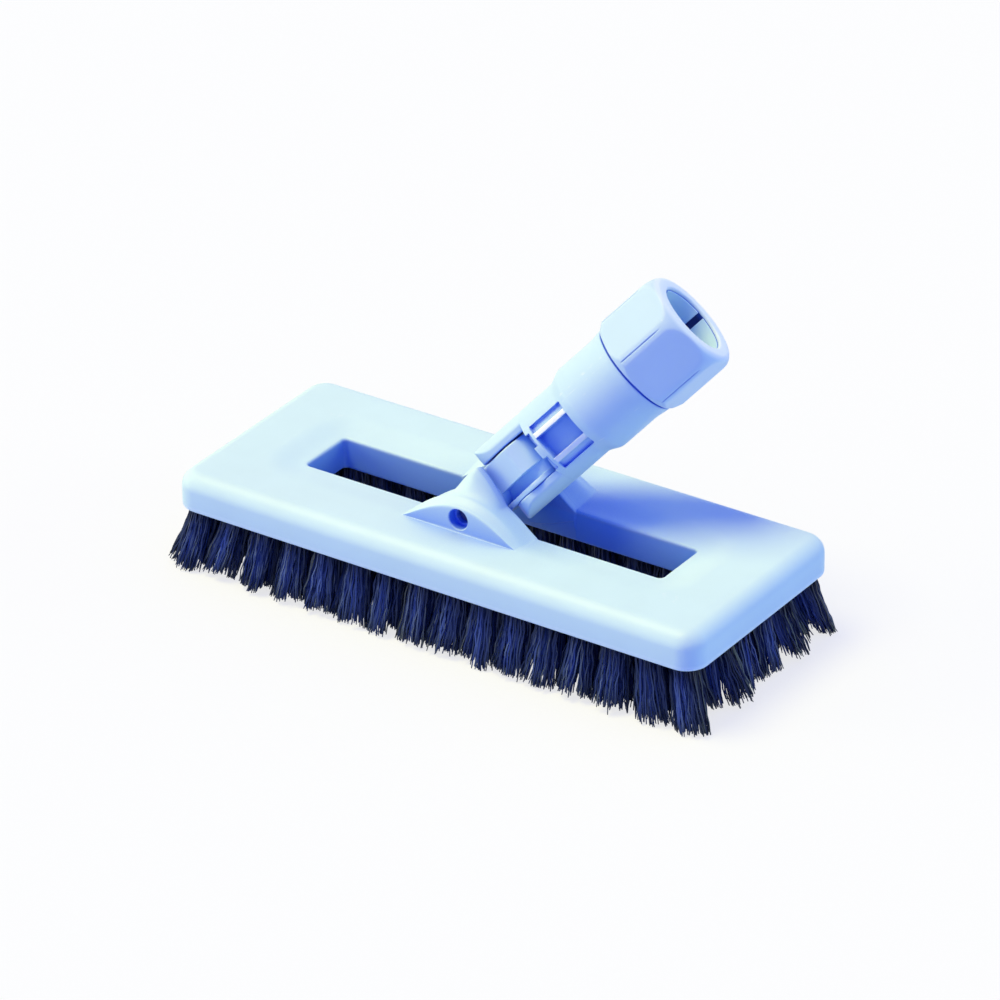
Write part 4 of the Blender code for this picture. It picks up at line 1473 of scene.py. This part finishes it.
pin_metal = blued_steel("pin_metal")
finish_of = {
    "block": block_plastic, "socket": socket_plastic, "fork": socket_plastic,
    "collar": collar_plastic, "knuckle": knuckle_plastic, "collet": collet_plastic,
    "pivot": pin_metal, "cross": pin_metal, "bristles": filament_finish("filament_navy")}
for name, piece in pieces.items():
    piece.data.materials.clear()
    piece.data.materials.append(finish_of[name.split("_")[0]])
print("finished pieces", len(pieces))

# %% [markdown]
# ## Floor and light
#
# The photograph has a white ground with no shadow to be seen. The floor and the
# world are white to the camera, and the floor keeps a faint shadow and throws a
# little light back up at the brush.
#
# The photograph is nearly neutral where light falls from above and saturated blue
# in the shade. Painting all of that would look wrong from other sides, so only
# hollows and a few places carry painted shade or highlights. For the rest, strongly
# yellow lamps stand in a strongly blue room: a large soft key high on the left, and
# two low ones at the left front and the right back. On the top they add up to a
# near neutral light, and in the shade only the room's blue is left.

# %% Floor
shadow_share = 0.25
floor_half = 3.0
floor_level = -0.0004


def seen_white(tree):
    """1 for rays that come from the camera, from a glossy bounce or through glass."""
    path = add_node(tree, "ShaderNodeLightPath")
    share = path.outputs["Is Camera Ray"]
    for name in ("Is Glossy Ray", "Is Transmission Ray"):
        share = combine(tree, "MAXIMUM", share, path.outputs[name])
    return share


def floor_finish():
    """White, with a quarter of its real shading kept, so that the brush has a faint shadow."""
    made, tree, shader = new_material("floor_white")
    shader.inputs["Roughness"].default_value = 0.8
    white_share = seen_white(tree)
    paper = mix_colour(tree, white_share, (0.36, 0.50, 0.95), (0.87, 0.90, 0.93))
    tree.links.new(paper, shader.inputs["Base Color"])
    glow = add_node(tree, "ShaderNodeEmission", color=(1.0, 1.0, 1.0, 1.0), strength=1.0)
    blend = add_node(tree, "ShaderNodeMixShader")
    share = combine(tree, "MULTIPLY", white_share, 1 - shadow_share)
    tree.links.new(share, blend.inputs["Fac"])
    tree.links.new(shader.outputs["BSDF"], blend.inputs[1])
    tree.links.new(glow.outputs["Emission"], blend.inputs[2])
    tree.links.new(blend.outputs["Shader"], tree.nodes["Material Output"].inputs["Surface"])
    return made


floor_mesh = bpy.data.meshes.new("floor")
signs = ((-1, -1), (1, -1), (1, 1), (-1, 1))
floor_corners = [(x * floor_half, y * floor_half, 0) for x, y in signs]
floor_mesh.from_pydata(floor_corners, [], [(0, 1, 2, 3)])
floor_mesh.materials.append(floor_finish())
floor = bpy.data.objects.new("floor", floor_mesh)
bpy.context.scene.collection.objects.link(floor)
floor.location.z = floor_level
print("floor width in metres", 2 * floor_half)

# %% [markdown]
# ### The lamps
#
# Area lamps close to the brush would light its near end more. Distant lamps light
# all of it alike, and their angle sets how soft the shadows are: 30 to 40 degrees
# stands for a large soft box.

# %% Lamps
def soft_sun(name, towards, irradiance, spread, colour):
    """A distant lamp: its -Z axis points away from the direction it shines from."""
    data = bpy.data.lights.new(name, "SUN")
    data.energy = irradiance
    data.angle = math.radians(spread)
    data.color = colour
    lamp = bpy.data.objects.new(name, data)
    bpy.context.scene.collection.objects.link(lamp)
    back = vector(towards) / np.linalg.norm(towards)
    right = np.cross([0, 0, 1], back)
    right = right / np.linalg.norm(right)
    turn = np.stack([right, np.cross(back, right), back]).T
    lamp.matrix_world = Matrix(turn.tolist()).to_4x4()


soft_sun("key_lamp", (-0.38, -0.18, 1.0), 2.86, 30.0, (1.0, 0.90, 0.20))
soft_sun("side_lamp", (-0.46, -0.31, 0.05), 1.60, 40.0, (1.0, 0.94, 0.20))
soft_sun("end_lamp", (1.0, 0.62, 0.06), 1.30, 40.0, (0.76, 1.0, 0.40))

# %% The room and the white seen behind the brush
world = bpy.data.worlds.new("studio")
bpy.context.scene.world = world
world.use_nodes = True
tree = world.node_tree
room = tree.nodes["Background"]
room.inputs["Color"].default_value = (0.115, 0.19, 1.0, 1.0)
room.inputs["Strength"].default_value = 0.86
backdrop = add_node(
    tree, "ShaderNodeBackground", color=(1.0, 1.0, 1.0, 1.0), strength=0.995)
choice = add_node(tree, "ShaderNodeMixShader")
tree.links.new(seen_white(tree), choice.inputs["Fac"])
tree.links.new(room.outputs["Background"], choice.inputs[1])
tree.links.new(backdrop.outputs["Background"], choice.inputs[2])
tree.links.new(choice.outputs["Shader"], tree.nodes["World Output"].inputs["Surface"])
bpy.context.scene.view_settings.view_transform = "Standard"
print("view transform", bpy.context.scene.view_settings.view_transform)
